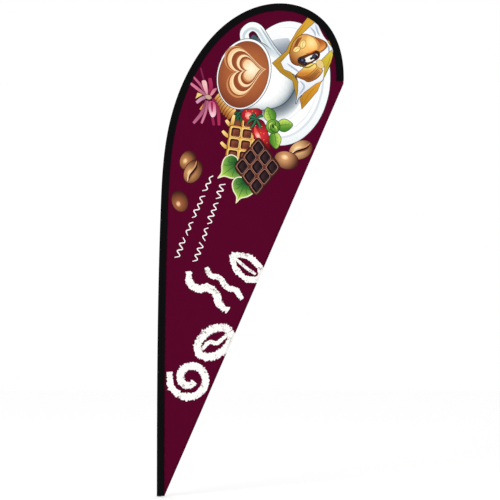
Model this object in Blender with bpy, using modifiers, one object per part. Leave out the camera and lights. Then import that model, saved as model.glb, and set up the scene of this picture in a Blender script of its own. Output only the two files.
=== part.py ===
"""A teardrop flag on its bent, sectioned pole, turning on a swivel spindle.

Metres, +Z up. The origin is the centre of the spindle's flat foot, on the pole's axis.
The flag lies in the XZ plane, reaches to +X, and its printed front faces -Y.
"""

import math

import bmesh
import bpy
import numpy as np
from mathutils import Vector

# Fits
FIT = 0.0003                    # running and seating gap between neighbours
TUBE_SIDES = 12
ROUND_SIDES = 24
WELD = 0.00001                  # points closer than this are one
TUBE_FLAT = math.cos(math.pi / TUBE_SIDES)   # a 12-sided bore is this much narrower across its flats

# Pole: its centre line starts on the Z axis and bends over towards +X
PATH_LENGTH = 3.208
BEND_SHARES = (0.0, 0.44, 0.56, 0.68, 0.78, 0.90, 1.0)        # where, as shares of the length
BEND_RATES = (0.0, 0.16, 2.65, 3.72, 7.41, 12.29, 4.47)       # radians of turn per whole length
PATH_STEPS = 1600
STATION_WEIGHT = 0.10           # spacing of cross sections along the straight, in metres
STATION_BEND = 0.5              # how much a radian of turn shortens that spacing
STATION_NEAR = 0.008            # an even station this near a fixed one is left out

# Telescoping pole sections, widest first: each pushes into the one before it
BASE_TUBE_R = 0.0080
TUBE_WALLS = (0.0012, 0.0012, 0.0011, 0.0010)
JOINT_SHARES = (0.250, 0.452, 0.640, 0.811)
TUBE_OVERLAP = 0.060
TIP_TAPER = 0.65                # tip radius of the solid rod, as a share of its root
RING_WALL = 0.0007
RING_LENGTH = 0.018
TIP_CAP_WALL = 0.0010
TIP_CAP_LENGTH = 0.014
TIP_CAP_END = 0.002
POCKET_WALL = 0.0010
POCKET_LENGTH = 0.040
POCKET_END = 0.002

# Swivel at the foot
SPINDLE_R = 0.0045
SPINDLE_TOP = 0.170
NOSE_WIDTHS = (0.6, 1.0)        # the rounded top, as shares of the spindle's radius
NOSE_DROPS = (0.15, 0.8)
FOOT_R = 0.0090
FOOT_THICK = 0.0040
RACE_THICK = 0.0014
BALL_R = 0.0014
BALL_COUNT = 6
CAGE_THICK = 0.0012
BUSH_FLANGE = 0.0015
BUSH_DEPTH = 0.020
TOP_BUSH_LENGTH = 0.012
TOP_BUSH_DROP = 0.012           # from the spindle's top to the bush's top

# Tension collar on the base tube, with its ears and pin
COLLAR_WALL = 0.0017
COLLAR_LOW = 0.030
COLLAR_HEIGHT = 0.012
COLLAR_TRAVEL = 0.015
PIN_R = 0.0011
EAR_THICK = 0.0015
EAR_PAST_PIN = 0.0012
EAR_ROOT = 0.4                  # where in the collar's wall the ears start, as a share of it
SCREW_R = 0.0015
STRAP_THICK = 0.0010
STRAP_BAR = 0.0015
STRAP_TOP = 0.095
STRAP_FLARE = 0.2               # where the strap starts to widen, as a share of the collar's height

# Sewn pole sleeve
SLEEVE_WALL = 0.0008
SLEEVE_WEB = 0.0190             # flat cloth between the base tube and the lips' edge
SLEEVE_MOUTH = 0.0030
LIP_LENGTH = 0.0040
ARC_POINTS = 11
NECK_SHARE = 0.4                # how far a thicker section's neck moves out, as a share of the extra
BINDING_HEIGHT = 0.012

# Printed panel
PANEL_THICK = 0.0010
PANEL_TUCK = 0.0035             # how far the panel reaches in between the sleeve's lips
PANEL_COLUMNS = 8
SLEEVE_SHARP = 50               # sleeve creases sharper than this, in degrees, stay crisp
BELLY = 0.045                   # how far wind would press a very wide panel back
BELLY_EASE = 0.15               # width of the margin along a held edge that stays nearly flat
CORNER_DROP = 0.0150            # trailing corner below the sleeve's cut end
TRAIL_START = 0.0020            # trailing edge beyond the lips at the mouth
HEM_WIDTH = 0.010
HEM_THICK = 0.0008
HEM_START = 0.040
HEM_ROOM = 0.025                # no hem where the panel is narrower than this


def bend_line():
    """Points and headings of the pole's centre line, by stepping along its bend."""
    share = np.linspace(0.0, 1.0, PATH_STEPS)
    rate = np.interp(share, BEND_SHARES, BEND_RATES)
    step = share[1]
    heading = np.concatenate([[0.0], np.cumsum((rate[1:] + rate[:-1]) / 2 * step)])
    middle = (heading[1:] + heading[:-1]) / 2
    x = np.concatenate([[0.0], np.cumsum(np.sin(middle))]) * step * PATH_LENGTH
    z = np.concatenate([[0.0], np.cumsum(np.cos(middle))]) * step * PATH_LENGTH
    return share * PATH_LENGTH, x, z, heading


PATH_S, PATH_X, PATH_Z, PATH_HEADING = bend_line()
JOINTS = [share * PATH_LENGTH for share in JOINT_SHARES]


def path_at(s):
    """Centre, direction and inward normal (towards the panel) at s metres along the pole."""
    heading = float(np.interp(s, PATH_S, PATH_HEADING))
    centre = Vector((float(np.interp(s, PATH_S, PATH_X)), 0.0, float(np.interp(s, PATH_S, PATH_Z))))
    along = Vector((math.sin(heading), 0.0, math.cos(heading)))
    inward = Vector((math.cos(heading), 0.0, -math.sin(heading)))
    return centre, along, inward


# Radii that follow from the fits, from the base tube to the tip
TUBE_RADII = [BASE_TUBE_R]
for wall in TUBE_WALLS:
    TUBE_RADII.append(TUBE_RADII[-1] - wall - FIT)
TIP_ROD_R = TUBE_RADII[-1]
SLEEVE_WIDTH = 2 * BASE_TUBE_R + SLEEVE_WEB
BASE_BORE = (BASE_TUBE_R - TUBE_WALLS[0]) * TUBE_FLAT

# Heights that follow from the stack on the spindle's foot
LOWER_RACE_Z = FOOT_THICK + FIT
BALL_Z = LOWER_RACE_Z + RACE_THICK + FIT + BALL_R
UPPER_RACE_Z = BALL_Z + BALL_R + FIT
BUSH_Z = UPPER_RACE_Z + RACE_THICK + FIT
TUBE_START = BUSH_Z + BUSH_FLANGE + FIT
BALL_RING_R = (SPINDLE_R + FIT + FOOT_R) / 2

TIP_END = PATH_LENGTH - POCKET_END - FIT - TIP_CAP_END - FIT
CAP_OUT = TIP_ROD_R + FIT + TIP_CAP_WALL
POCKET_OUT = CAP_OUT + FIT + POCKET_WALL
TIP_POCKET_DEPTH = POCKET_LENGTH - (PATH_LENGTH - TIP_END)
COLLAR_R = BASE_TUBE_R + FIT + COLLAR_WALL

# Sleeve's outer radius at the mouth, at each ferrule ring and at the tip pocket
SLEEVE_S = [0.0] + JOINTS + [PATH_LENGTH]
SLEEVE_R = [max(COLLAR_R, FOOT_R) + 2 * FIT + SLEEVE_WALL]
SLEEVE_R += [radius + RING_WALL + 2.5 * FIT + SLEEVE_WALL for radius in TUBE_RADII[:-1]]
SLEEVE_R += [POCKET_OUT + 2 * FIT + SLEEVE_WALL]
SLEEVE_R[-2] = max(SLEEVE_R[-2], SLEEVE_R[-1])
LIP_HALF = PANEL_THICK / 2 + FIT + SLEEVE_WALL


def stations():
    """Places of all cross sections, closer where the pole bends, with every joint's ends among them."""
    weight = (PATH_S + STATION_BEND * PATH_HEADING)
    count = round(weight[-1] / STATION_WEIGHT)
    even = [float(np.interp(w, weight, PATH_S)) for w in np.linspace(0.0, weight[-1], count + 1)]
    fixed = [SLEEVE_MOUTH, TUBE_START, TIP_END, TIP_END - TIP_CAP_LENGTH]
    fixed += [SLEEVE_MOUTH + BINDING_HEIGHT, PATH_LENGTH - POCKET_LENGTH, PATH_LENGTH]
    for joint in JOINTS:
        fixed += [joint, joint - TUBE_OVERLAP, joint - RING_LENGTH]
    free = [s for s in even if SLEEVE_MOUTH < s < PATH_LENGTH
            and min(abs(s - other) for other in fixed) > STATION_NEAR]
    return sorted(free + fixed)


STATIONS = stations()


def span(start, end):
    """The shared stations from start to end, both included."""
    return [s for s in STATIONS if start - WELD <= s <= end + WELD]


def sleeve_radius(s):
    return float(np.interp(s, SLEEVE_S, SLEEVE_R))


def lip_reach(s):
    """Distance from the pole's centre line to the sleeve's lip edge."""
    return SLEEVE_WIDTH - sleeve_radius(s)


# Scene, materials and small helpers

def clear_scene():
    for old in list(bpy.data.objects):
        bpy.data.objects.remove(old, do_unlink=True)


def collection(name):
    made = bpy.data.collections.new(name)
    bpy.context.scene.collection.children.link(made)
    return made


def material(name, colour, roughness, metallic=0.0):
    made = bpy.data.materials.new(name)
    made.use_nodes = True
    shader = made.node_tree.nodes["Principled BSDF"]
    shader.inputs["Base Color"].default_value = (*colour, 1.0)
    shader.inputs["Roughness"].default_value = roughness
    shader.inputs["Metallic"].default_value = metallic
    return made


def add_object(name, data, look, group, parent=None):
    """Put data in the scene under its name, with its material and its joint's empty."""
    made = bpy.data.objects.new(name, data)
    data.materials.clear()
    data.materials.append(look)
    group.objects.link(made)
    if parent is not None:
        made.parent = parent
        made.matrix_parent_inverse = parent.matrix_world.inverted()
    return made


def joint_empty(name, place, group):
    made = bpy.data.objects.new(name, None)
    made.location = place
    group.objects.link(made)
    bpy.context.view_layer.update()
    return made


def smooth(made, angle=35.0):
    made.data.shade_smooth()
    made.data.set_sharp_from_angle(angle=math.radians(angle))


def sheet_mesh(name, rows):
    """An open surface of quads through rows of points."""
    mesh = bmesh.new()
    grid = [[mesh.verts.new(point) for point in row] for row in rows]
    for low, high in zip(grid, grid[1:]):
        for i in range(len(low) - 1):
            mesh.faces.new((low[i], high[i], high[i + 1], low[i + 1]))
    data = bpy.data.meshes.new(name)
    mesh.to_mesh(data)
    mesh.free()
    return data


def solidify(made, thickness, offset, even=True):
    shell = made.modifiers.new("wall", "SOLIDIFY")
    shell.thickness = thickness
    shell.offset = offset
    shell.use_even_offset = even
    return shell


def turned(name, profile, look, group, parent=None):
    """A profile of (radius, height), down its outer side, turned about Z."""
    mesh = bmesh.new()
    points = [mesh.verts.new((radius, 0.0, height)) for radius, height in profile]
    closed = min(radius for radius, _ in profile) > 0
    pairs = list(zip(points, points[1:])) + ([(points[-1], points[0])] if closed else [])
    for a, b in pairs:
        mesh.edges.new((a, b))
    data = bpy.data.meshes.new(name)
    mesh.to_mesh(data)
    mesh.free()
    made = add_object(name, data, look, group, parent)
    screw = made.modifiers.new("turn", "SCREW")
    screw.steps = ROUND_SIDES
    screw.render_steps = ROUND_SIDES
    screw.use_merge_vertices = True
    screw.merge_threshold = WELD
    return made


def ring_profile(inner, outer, low, high):
    return [(inner, high), (outer, high), (outer, low), (inner, low)]


def pole_curve(name, radii, start, end, capped):
    """A round curve along the pole, with a radius at its start and end."""
    places = span(start, end)
    data = bpy.data.curves.new(name, "CURVE")
    data.dimensions = "3D"
    data.bevel_depth = radii[0]
    data.bevel_resolution = TUBE_SIDES // 2 - 2
    data.use_fill_caps = capped
    line = data.splines.new("POLY")
    line.points.add(len(places) - 1)
    for point, s in zip(line.points, places):
        share = (s - start) / (end - start)
        point.co = (*path_at(s)[0], 1.0)
        point.radius = 1.0 + (radii[1] / radii[0] - 1.0) * share
    return data


def curve_to_mesh(name, curve):
    """The curve's evaluated surface as a mesh, with its caps welded on."""
    holder = bpy.data.objects.new(name + "_curve", curve)
    bpy.context.scene.collection.objects.link(holder)
    bpy.context.view_layer.update()
    data = bpy.data.meshes.new_from_object(holder.evaluated_get(bpy.context.evaluated_depsgraph_get()))
    mesh = bmesh.new()
    mesh.from_mesh(data)
    bmesh.ops.remove_doubles(mesh, verts=mesh.verts, dist=WELD)
    mesh.to_mesh(data)
    mesh.free()
    bpy.data.objects.remove(holder, do_unlink=True)
    data.name = name
    return data


def tube(name, outer, wall, start, end, look, group, parent):
    """A hollow pole section: its outer surface, with its wall grown inwards."""
    data = curve_to_mesh(name, pole_curve(name, (outer, outer), start, end, False))
    made = add_object(name, data, look, group, parent)
    solidify(made, wall, -1.0)
    smooth(made)
    return made


def cut(target, cutter, operation="DIFFERENCE"):
    made = target.modifiers.new(cutter.name, "BOOLEAN")
    made.operation = operation
    made.solver = "EXACT"
    made.object = cutter


def cutter_from(name, mesh, cutters):
    data = bpy.data.meshes.new(name)
    mesh.to_mesh(data)
    mesh.free()
    made = bpy.data.objects.new(name, data)
    made.hide_render = True
    made.display_type = "WIRE"
    cutters.objects.link(made)
    return made


def box_cutter(name, low, high, cutters):
    mesh = bmesh.new()
    bmesh.ops.create_cube(mesh, size=1.0)
    middle = [(a + b) / 2 for a, b in zip(low, high)]
    for vert in mesh.verts:
        vert.co = Vector([m + v * (b - a) for m, v, a, b in zip(middle, vert.co, low, high)])
    return cutter_from(name, mesh, cutters)


def cylinder_cutter(name, radius, depth, place, axis, cutters):
    mesh = bmesh.new()
    bmesh.ops.create_cone(
        mesh, cap_ends=True, segments=16, radius1=radius, radius2=radius, depth=depth
    )
    turn = Vector((0, 0, 1)).rotation_difference(Vector(axis)).to_matrix()
    for vert in mesh.verts:
        vert.co = turn @ vert.co + Vector(place)
    return cutter_from(name, mesh, cutters)


# Sewn pieces

def sleeve_section(s, extra=0.0):
    """The sleeve's outer line across the pole: lip, leg, round back, leg, lip."""
    centre, _, inward = path_at(s)
    radius = sleeve_radius(s)
    reach = lip_reach(s)
    neck = reach - LIP_LENGTH
    far = math.hypot(neck, LIP_HALF)
    lean = math.atan2(LIP_HALF, neck) + math.acos(radius / far)
    half = LIP_HALF + extra
    flat = [(reach, -half), (neck + extra * NECK_SHARE, -half)]
    for i in range(ARC_POINTS):
        angle = -lean - (2 * math.pi - 2 * lean) * i / (ARC_POINTS - 1)
        flat.append(((radius + extra) * math.cos(angle), (radius + extra) * math.sin(angle)))
    flat += [(neck + extra * NECK_SHARE, half), (reach, half)]
    return [centre + inward * p + Vector((0, q, 0)) for p, q in flat]


def panel_outline():
    """The panel's two long edges: the one in the sleeve's lips, and the straight trailing one."""
    seam = []
    for s in span(SLEEVE_MOUTH, PATH_LENGTH):
        centre, _, inward = path_at(s)
        seam.append(centre + inward * (lip_reach(s) - PANEL_TUCK))
    centre, along, inward = path_at(PATH_LENGTH)
    below = centre + along * 2 * FIT
    seam.append(below + inward * (lip_reach(PATH_LENGTH) - PANEL_TUCK))
    seam.append(below)
    corner = centre - inward * (sleeve_radius(PATH_LENGTH) - FIT) + along * CORNER_DROP
    seam.append(below - inward * (sleeve_radius(PATH_LENGTH) - FIT))
    start, _, inward = path_at(SLEEVE_MOUTH)
    low = start + inward * (lip_reach(SLEEVE_MOUTH) + TRAIL_START)
    return seam, low, corner


def eased(distance):
    """Rises from 0 at an edge towards 1, flat where it starts."""
    return distance ** 2 / (distance ** 2 + BELLY_EASE ** 2)


def belly_at(point, seam, low, corner):
    """How far back the wind presses a point, more the further it is from both held edges."""
    from_seam = min((point - other).length for other in seam)
    edge = (corner - low).normalized()
    from_trail = (point - low).cross(edge).length
    return BELLY * eased(from_seam) * eased(from_trail)


def panel_rows(seam, low, corner):
    """Rows of points from the seam to the trailing edge, swollen back by the wind."""
    ends = [0.0]
    for a, b in zip(seam, seam[1:]):
        ends.append(ends[-1] + (b - a).length)
    rows = []
    for start, done in zip(seam, ends):
        end = low.lerp(corner, done / ends[-1])
        tucked = (PANEL_TUCK + 2 * FIT) / (end - start).length
        row = [start]
        for i in range(PANEL_COLUMNS + 1):
            across = 0.5 - 0.5 * math.cos(math.pi * i / PANEL_COLUMNS)
            point = start.lerp(end, tucked + (1 - tucked) * across)
            point.y = belly_at(point, seam, low, corner)
            row.append(point)
        rows.append(row)
    return rows


def end_cup(name, bore, outer, depth, floor, look, group, parent):
    """A cup over the rod's end: a tube of that depth, closed by a floor from and to past the end."""
    places = [path_at(s) for s in span(TIP_END - depth, TIP_END)]
    end, along, _ = places[-1]
    frames = [places[-1]] * 2 + list(reversed(places)) + places + [places[-1]] * 2
    middles = [frame[0] for frame in frames]
    middles[0] = middles[1] = middles[2] = end + along * floor[1]
    middles[-1] = middles[-2] = middles[-3] = end + along * floor[0]
    radii = [0.0] + [outer] * (len(places) + 1) + [bore] * (len(places) + 1) + [0.0]
    del middles[1], frames[1], radii[1], middles[-2], frames[-2], radii[-2]
    mesh = bmesh.new()
    loops = []
    for middle, frame, radius in zip(middles, frames, radii):
        loop = []
        for i in range(TUBE_SIDES if radius else 1):
            angle = 2 * math.pi * i / TUBE_SIDES
            out = frame[2] * math.cos(angle) + Vector((0, math.sin(angle), 0))
            loop.append(mesh.verts.new(middle + out * radius))
        loops.append(loop)
    for first, second in zip(loops, loops[1:]):
        for i in range(TUBE_SIDES):
            j = (i + 1) % TUBE_SIDES
            corners = [first[j % len(first)], first[i % len(first)]]
            corners += [second[i % len(second)], second[j % len(second)]]
            mesh.faces.new(list(dict.fromkeys(corners)))
    bmesh.ops.recalc_face_normals(mesh, faces=mesh.faces)
    data = bpy.data.meshes.new(name)
    mesh.to_mesh(data)
    mesh.free()
    smooth(add_object(name, data, look, group, parent))


def build_collar(steel, nylon, webbing, flag, cutters, spin, collar_axis):
    """The sliding collar with two ears, the pin between them, its grub screw, and the strap it pulls."""
    bore = BASE_TUBE_R + FIT
    ear_low = STRAP_THICK / 2 + FIT
    ear_high = ear_low + EAR_THICK
    slot_left = COLLAR_R + FIT + STRAP_BAR
    pin_x = slot_left + FIT + PIN_R
    ear_end = pin_x + PIN_R + EAR_PAST_PIN
    middle = COLLAR_LOW + COLLAR_HEIGHT / 2
    collar_top = COLLAR_LOW + COLLAR_HEIGHT
    collar = turned("tension_collar", ring_profile(bore, COLLAR_R, COLLAR_LOW, collar_top), nylon,
                    flag, collar_axis)
    for side, sign in (("front", -1), ("back", 1)):
        sides = sorted((sign * ear_low, sign * ear_high))
        ear = box_cutter(f"{side}_ear", (bore + COLLAR_WALL * EAR_ROOT, sides[0], COLLAR_LOW),
                         (ear_end, sides[1], collar_top), cutters)
        cut(collar, ear, "UNION")
    cut(collar, cylinder_cutter("pin_hole", PIN_R + FIT, ear_high * 4, (pin_x, 0, middle), (0, 1, 0),
                                cutters))
    cut(collar, cylinder_cutter("screw_hole", SCREW_R + FIT, COLLAR_R * 2,
                                (-COLLAR_R * 1.5, 0, middle), (1, 0, 0), cutters))
    pin = solid_cylinder("collar_pin", PIN_R, ear_high * 2, (0, 1, 0))
    pin = add_object("collar_pin", pin, steel, flag, collar_axis)
    pin.location = (pin_x, 0, middle)
    smooth(pin)
    screw = solid_cylinder("grub_screw", SCREW_R, COLLAR_WALL, (1, 0, 0))
    screw = add_object("grub_screw", screw, steel, flag, collar_axis)
    screw.location = (-bore - COLLAR_WALL / 2, 0, middle)
    smooth(screw)

    right = lip_reach(COLLAR_LOW) - PANEL_TUCK - FIT
    slot_low = middle - PIN_R - FIT
    slot_high = middle + PIN_R + COLLAR_TRAVEL + FIT
    slot_right = pin_x + PIN_R + FIT
    low = slot_low - STRAP_BAR * 2
    data = bpy.data.curves.new("tension_strap", "CURVE")
    data.dimensions = "2D"
    data.fill_mode = "BOTH"
    data.extrude = STRAP_THICK / 2
    left = COLLAR_R + FIT
    narrow = slot_right + STRAP_BAR
    outer = [(left, low), (narrow, low), (narrow, COLLAR_LOW + COLLAR_HEIGHT * STRAP_FLARE),
             (right, collar_top), (right, STRAP_TOP), (left + STRAP_BAR * 2, STRAP_TOP),
             (left, slot_high + STRAP_BAR * 2)]
    slot = [(slot_left, slot_low), (slot_left, slot_high), (slot_right, slot_high),
            (slot_right, slot_low)]
    for outline in (outer, slot):
        line = data.splines.new("POLY")
        line.use_cyclic_u = True
        line.points.add(len(outline) - 1)
        for point, (x, z) in zip(line.points, outline):
            point.co = (x, z, 0, 1)
    strap = add_object("tension_strap", curve_to_mesh("tension_strap", data), webbing, flag)
    strap.rotation_euler = (math.pi / 2, 0, 0)
    bpy.context.view_layer.update()
    strap.parent = spin


def solid_cylinder(name, radius, depth, axis):
    mesh = bmesh.new()
    bmesh.ops.create_cone(
        mesh, cap_ends=True, segments=16, radius1=radius, radius2=radius, depth=depth
    )
    turn = Vector((0, 0, 1)).rotation_difference(Vector(axis)).to_matrix()
    bmesh.ops.rotate(mesh, verts=mesh.verts, matrix=turn)
    data = bpy.data.meshes.new(name)
    mesh.to_mesh(data)
    mesh.free()
    return data


def hem_rows(rows):
    """A strip behind the panel's trailing edge, following its surface."""
    made = []
    for row in rows:
        edge = row[-1]
        width = (row[0] - edge).length
        if edge.z < HEM_START or width < HEM_ROOM:
            continue
        inner = None
        for a, b in zip(row, row[1:]):
            da = (a - edge).length
            db = (b - edge).length
            if db <= HEM_WIDTH <= da:
                inner = a.lerp(b, (da - HEM_WIDTH) / (da - db))
        lift = Vector((0, PANEL_THICK / 2 + 2 * FIT, 0))
        made.append([inner + lift, edge + lift])
    return made


def build():
    clear_scene()
    flag = collection("teardrop_flag")
    cutters = collection("cutters")
    spin = joint_empty("wind_swivel_axis", (0, 0, 0), flag)
    cage_axis = joint_empty("cage_spin_axis", (0, 0, 0), flag)
    collar_axis = joint_empty("collar_slide_axis", (0, 0, COLLAR_LOW), flag)

    steel = material("bright_steel", (0.62, 0.63, 0.65), 0.28, 1.0)
    nylon = material("black_nylon", (0.02, 0.02, 0.022), 0.5)
    glassfibre = material("grey_glassfibre", (0.10, 0.10, 0.11), 0.35)
    aluminium = material("aluminium", (0.72, 0.73, 0.75), 0.35, 1.0)
    oxford = material("black_oxford", (0.006, 0.006, 0.008), 0.8)
    print_cloth = material("printed_polyester", (0.088, 0.0, 0.018), 0.7)
    webbing = material("black_webbing", (0.012, 0.012, 0.014), 0.85)
    hem_cloth = material("maroon_hem", (0.05, 0.0, 0.012), 0.75)

    # Swivel
    turned("swivel_spindle", [
        (0.0, SPINDLE_TOP), (SPINDLE_R * NOSE_WIDTHS[0], SPINDLE_TOP - SPINDLE_R * NOSE_DROPS[0]),
        (SPINDLE_R * NOSE_WIDTHS[1], SPINDLE_TOP - SPINDLE_R * NOSE_DROPS[1]), (SPINDLE_R, FOOT_THICK),
        (FOOT_R - FIT, FOOT_THICK), (FOOT_R, FOOT_THICK - FIT), (FOOT_R, FIT),
        (FOOT_R - FIT, 0.0), (0.0, 0.0),
    ], steel, flag)
    race_bore = SPINDLE_R + FIT
    turned("lower_race", ring_profile(
        race_bore, FOOT_R, LOWER_RACE_Z, LOWER_RACE_Z + RACE_THICK), steel, flag)
    cage = turned("ball_cage", ring_profile(
        race_bore, FOOT_R, BALL_Z - CAGE_THICK / 2, BALL_Z + CAGE_THICK / 2), nylon, flag, cage_axis)
    for i in range(BALL_COUNT):
        angle = 2 * math.pi * i / BALL_COUNT
        place = Vector((BALL_RING_R * math.cos(angle), BALL_RING_R * math.sin(angle), BALL_Z))
        pocket = cylinder_cutter(
            f"ball_pocket_{i + 1}", BALL_R + FIT, CAGE_THICK * 3, place, (0, 0, 1), cutters)
        cut(cage, pocket)
        mesh = bmesh.new()
        bmesh.ops.create_icosphere(mesh, subdivisions=2, radius=BALL_R)
        data = bpy.data.meshes.new(f"bearing_ball_{i + 1}")
        mesh.to_mesh(data)
        mesh.free()
        ball = add_object(f"bearing_ball_{i + 1}", data, steel, flag, cage_axis)
        ball.location = place
        ball.data.shade_smooth()
    turned("upper_race", ring_profile(
        race_bore, FOOT_R, UPPER_RACE_Z, UPPER_RACE_Z + RACE_THICK), steel, flag, spin)
    bush_r = BASE_BORE - FIT
    bush_seat = TUBE_START - FIT
    turned("foot_bush", [
        (race_bore, TUBE_START + BUSH_DEPTH), (bush_r, TUBE_START + BUSH_DEPTH), (bush_r, bush_seat),
        (BASE_TUBE_R, bush_seat), (BASE_TUBE_R, BUSH_Z), (race_bore, BUSH_Z),
    ], nylon, flag, spin)
    top = SPINDLE_TOP - TOP_BUSH_DROP
    turned("top_bush", ring_profile(race_bore, bush_r, top - TOP_BUSH_LENGTH, top), nylon, flag, spin)

    # Pole sections, their ferrule rings and the tip
    names = ("base_tube", "lower_tube", "middle_tube", "upper_tube")
    starts = [TUBE_START] + [joint - TUBE_OVERLAP for joint in JOINTS]
    for i, name in enumerate(names):
        tube(name, TUBE_RADII[i], TUBE_WALLS[i], starts[i], JOINTS[i], glassfibre, flag, spin)
        ring_outer = TUBE_RADII[i] + FIT + RING_WALL
        tube(f"ferrule_ring_{i + 1}", ring_outer, RING_WALL, JOINTS[i] - RING_LENGTH, JOINTS[i],
             aluminium, flag, spin)
    rod = curve_to_mesh("tip_rod", pole_curve(
        "tip_rod", (TIP_ROD_R, TIP_ROD_R * TIP_TAPER), starts[-1], TIP_END, True))
    smooth(add_object("tip_rod", rod, glassfibre, flag, spin))
    end_cup("tip_cap", TIP_ROD_R + FIT, CAP_OUT, TIP_CAP_LENGTH, (FIT, FIT + TIP_CAP_END),
            nylon, flag, spin)
    end_cup("tip_pocket", CAP_OUT + FIT, POCKET_OUT, TIP_POCKET_DEPTH,
            (PATH_LENGTH - POCKET_END - TIP_END, PATH_LENGTH - TIP_END), webbing, flag, spin)

    # Collar, pin, screw and strap
    build_collar(steel, nylon, webbing, flag, cutters, spin, collar_axis)

    # Sewn pieces
    rows = [sleeve_section(s) for s in span(SLEEVE_MOUTH, PATH_LENGTH)]
    sleeve = add_object("pole_sleeve", sheet_mesh("pole_sleeve", rows), oxford, flag, spin)
    solidify(sleeve, SLEEVE_WALL, -1.0)
    smooth(sleeve, SLEEVE_SHARP)
    skin = FIT + SLEEVE_WALL
    rows = [sleeve_section(s, skin) for s in span(SLEEVE_MOUTH, SLEEVE_MOUTH + BINDING_HEIGHT)]
    binding = add_object("mouth_binding", sheet_mesh("mouth_binding", rows), webbing, flag, spin)
    solidify(binding, SLEEVE_WALL, -1.0)
    smooth(binding, SLEEVE_SHARP)

    rows = panel_rows(*panel_outline())
    panel = add_object("printed_panel", sheet_mesh("printed_panel", rows), print_cloth, flag, spin)
    solidify(panel, PANEL_THICK, 0.0, even=False)
    smooth(panel)
    hem = add_object("trailing_hem", sheet_mesh("trailing_hem", hem_rows(rows)), hem_cloth, flag, spin)
    solidify(hem, HEM_THICK, 1.0, even=False)
    smooth(hem)


build()
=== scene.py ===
# %% [markdown]
# # A printed teardrop flag
# A tall flag stands on a bent pole. Its cloth is one printed panel, sewn along its curved
# edge into a black sleeve that the pole slides into, and hemmed along its straight edge.
# The frame that is loaded here already holds every hard piece at its real size: the swivel,
# the pole's sections and the tension collar. This lesson makes the cloth, the stitching and
# the finish of every surface around that frame.

# %% Load the frame
import math

import bmesh
import bpy
import numpy as np
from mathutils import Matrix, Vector, noise
from mathutils.bvhtree import BVHTree
from mathutils.geometry import barycentric_transform, delaunay_2d_cdt
from mathutils.kdtree import KDTree


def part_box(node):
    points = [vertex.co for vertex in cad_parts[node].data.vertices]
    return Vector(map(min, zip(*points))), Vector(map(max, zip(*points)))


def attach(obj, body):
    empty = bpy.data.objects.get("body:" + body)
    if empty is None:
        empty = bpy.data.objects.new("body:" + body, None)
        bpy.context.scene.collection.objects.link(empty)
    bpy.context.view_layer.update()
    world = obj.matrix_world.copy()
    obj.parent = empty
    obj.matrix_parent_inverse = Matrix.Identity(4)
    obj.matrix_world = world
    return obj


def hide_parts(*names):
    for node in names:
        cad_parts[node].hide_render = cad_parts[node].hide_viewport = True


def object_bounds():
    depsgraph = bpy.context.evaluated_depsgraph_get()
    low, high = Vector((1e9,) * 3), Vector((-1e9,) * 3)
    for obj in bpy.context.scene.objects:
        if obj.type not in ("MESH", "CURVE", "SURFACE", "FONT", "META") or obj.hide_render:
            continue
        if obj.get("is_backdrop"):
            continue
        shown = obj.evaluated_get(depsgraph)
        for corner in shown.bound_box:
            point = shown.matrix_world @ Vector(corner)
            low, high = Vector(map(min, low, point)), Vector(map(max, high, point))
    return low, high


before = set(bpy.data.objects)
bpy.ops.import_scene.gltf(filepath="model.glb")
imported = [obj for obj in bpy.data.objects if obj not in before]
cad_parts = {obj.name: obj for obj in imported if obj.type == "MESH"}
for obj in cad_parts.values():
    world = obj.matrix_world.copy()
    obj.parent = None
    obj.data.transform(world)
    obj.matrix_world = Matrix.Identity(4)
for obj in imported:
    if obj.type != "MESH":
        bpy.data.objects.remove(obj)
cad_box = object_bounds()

scene = bpy.context.scene
scene.view_settings.view_transform = "Standard"
print("frame box:", [[round(v, 3) for v in corner] for corner in cad_box])

# %% [markdown]
# ## The pole's line
# Everything sewn on this flag follows the pole, so its line comes first. A flexible pole
# bends little at its thick foot and most near its thin tip. Giving the rate of bend at a
# few places and adding it up along the pole draws that line with seven numbers, and the
# result is smooth wherever it is sampled.

# %% The pole's line
PATH_LENGTH = 3.208
BEND_SHARES = (0.0, 0.44, 0.56, 0.68, 0.78, 0.90, 1.0)
BEND_RATES = (0.0, 0.16, 2.65, 3.72, 7.41, 12.29, 4.47)
PATH_STEPS = 1600
JOINTS = [share * PATH_LENGTH for share in (0.250, 0.452, 0.640, 0.811)]
SLEEVE_S = [0.0, *JOINTS, PATH_LENGTH]
SLEEVE_R = [0.0114, 0.01025, 0.00875, 0.00725, 0.0063, 0.0063]
SLEEVE_WIDTH = 0.035
MOUTH = 0.003


def bend_line():
    """Distance, x, z and heading along the pole's centre line."""
    share = np.linspace(0.0, 1.0, PATH_STEPS)
    rate = np.interp(share, BEND_SHARES, BEND_RATES)
    step = share[1]
    heading = np.concatenate([[0.0], np.cumsum((rate[1:] + rate[:-1]) / 2 * step)])
    middle = (heading[1:] + heading[:-1]) / 2
    x = np.concatenate([[0.0], np.cumsum(np.sin(middle))]) * step * PATH_LENGTH
    z = np.concatenate([[0.0], np.cumsum(np.cos(middle))]) * step * PATH_LENGTH
    return share * PATH_LENGTH, x, z, heading


LINE = bend_line()


def along_pole(s):
    """Centres, directions and normals towards the panel, as rows of (x, z), at distances s."""
    x = np.interp(s, LINE[0], LINE[1])
    z = np.interp(s, LINE[0], LINE[2])
    heading = np.interp(s, LINE[0], LINE[3])
    ahead = np.column_stack([np.sin(heading), np.cos(heading)])
    inward = np.column_stack([np.cos(heading), -np.sin(heading)])
    return np.column_stack([x, z]), ahead, inward


def sleeve_radius(s):
    return np.interp(s, SLEEVE_S, SLEEVE_R)


def lip_reach(s):
    """From the pole's centre line to the edge of the sleeve's lips."""
    return SLEEVE_WIDTH - sleeve_radius(s)


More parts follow.
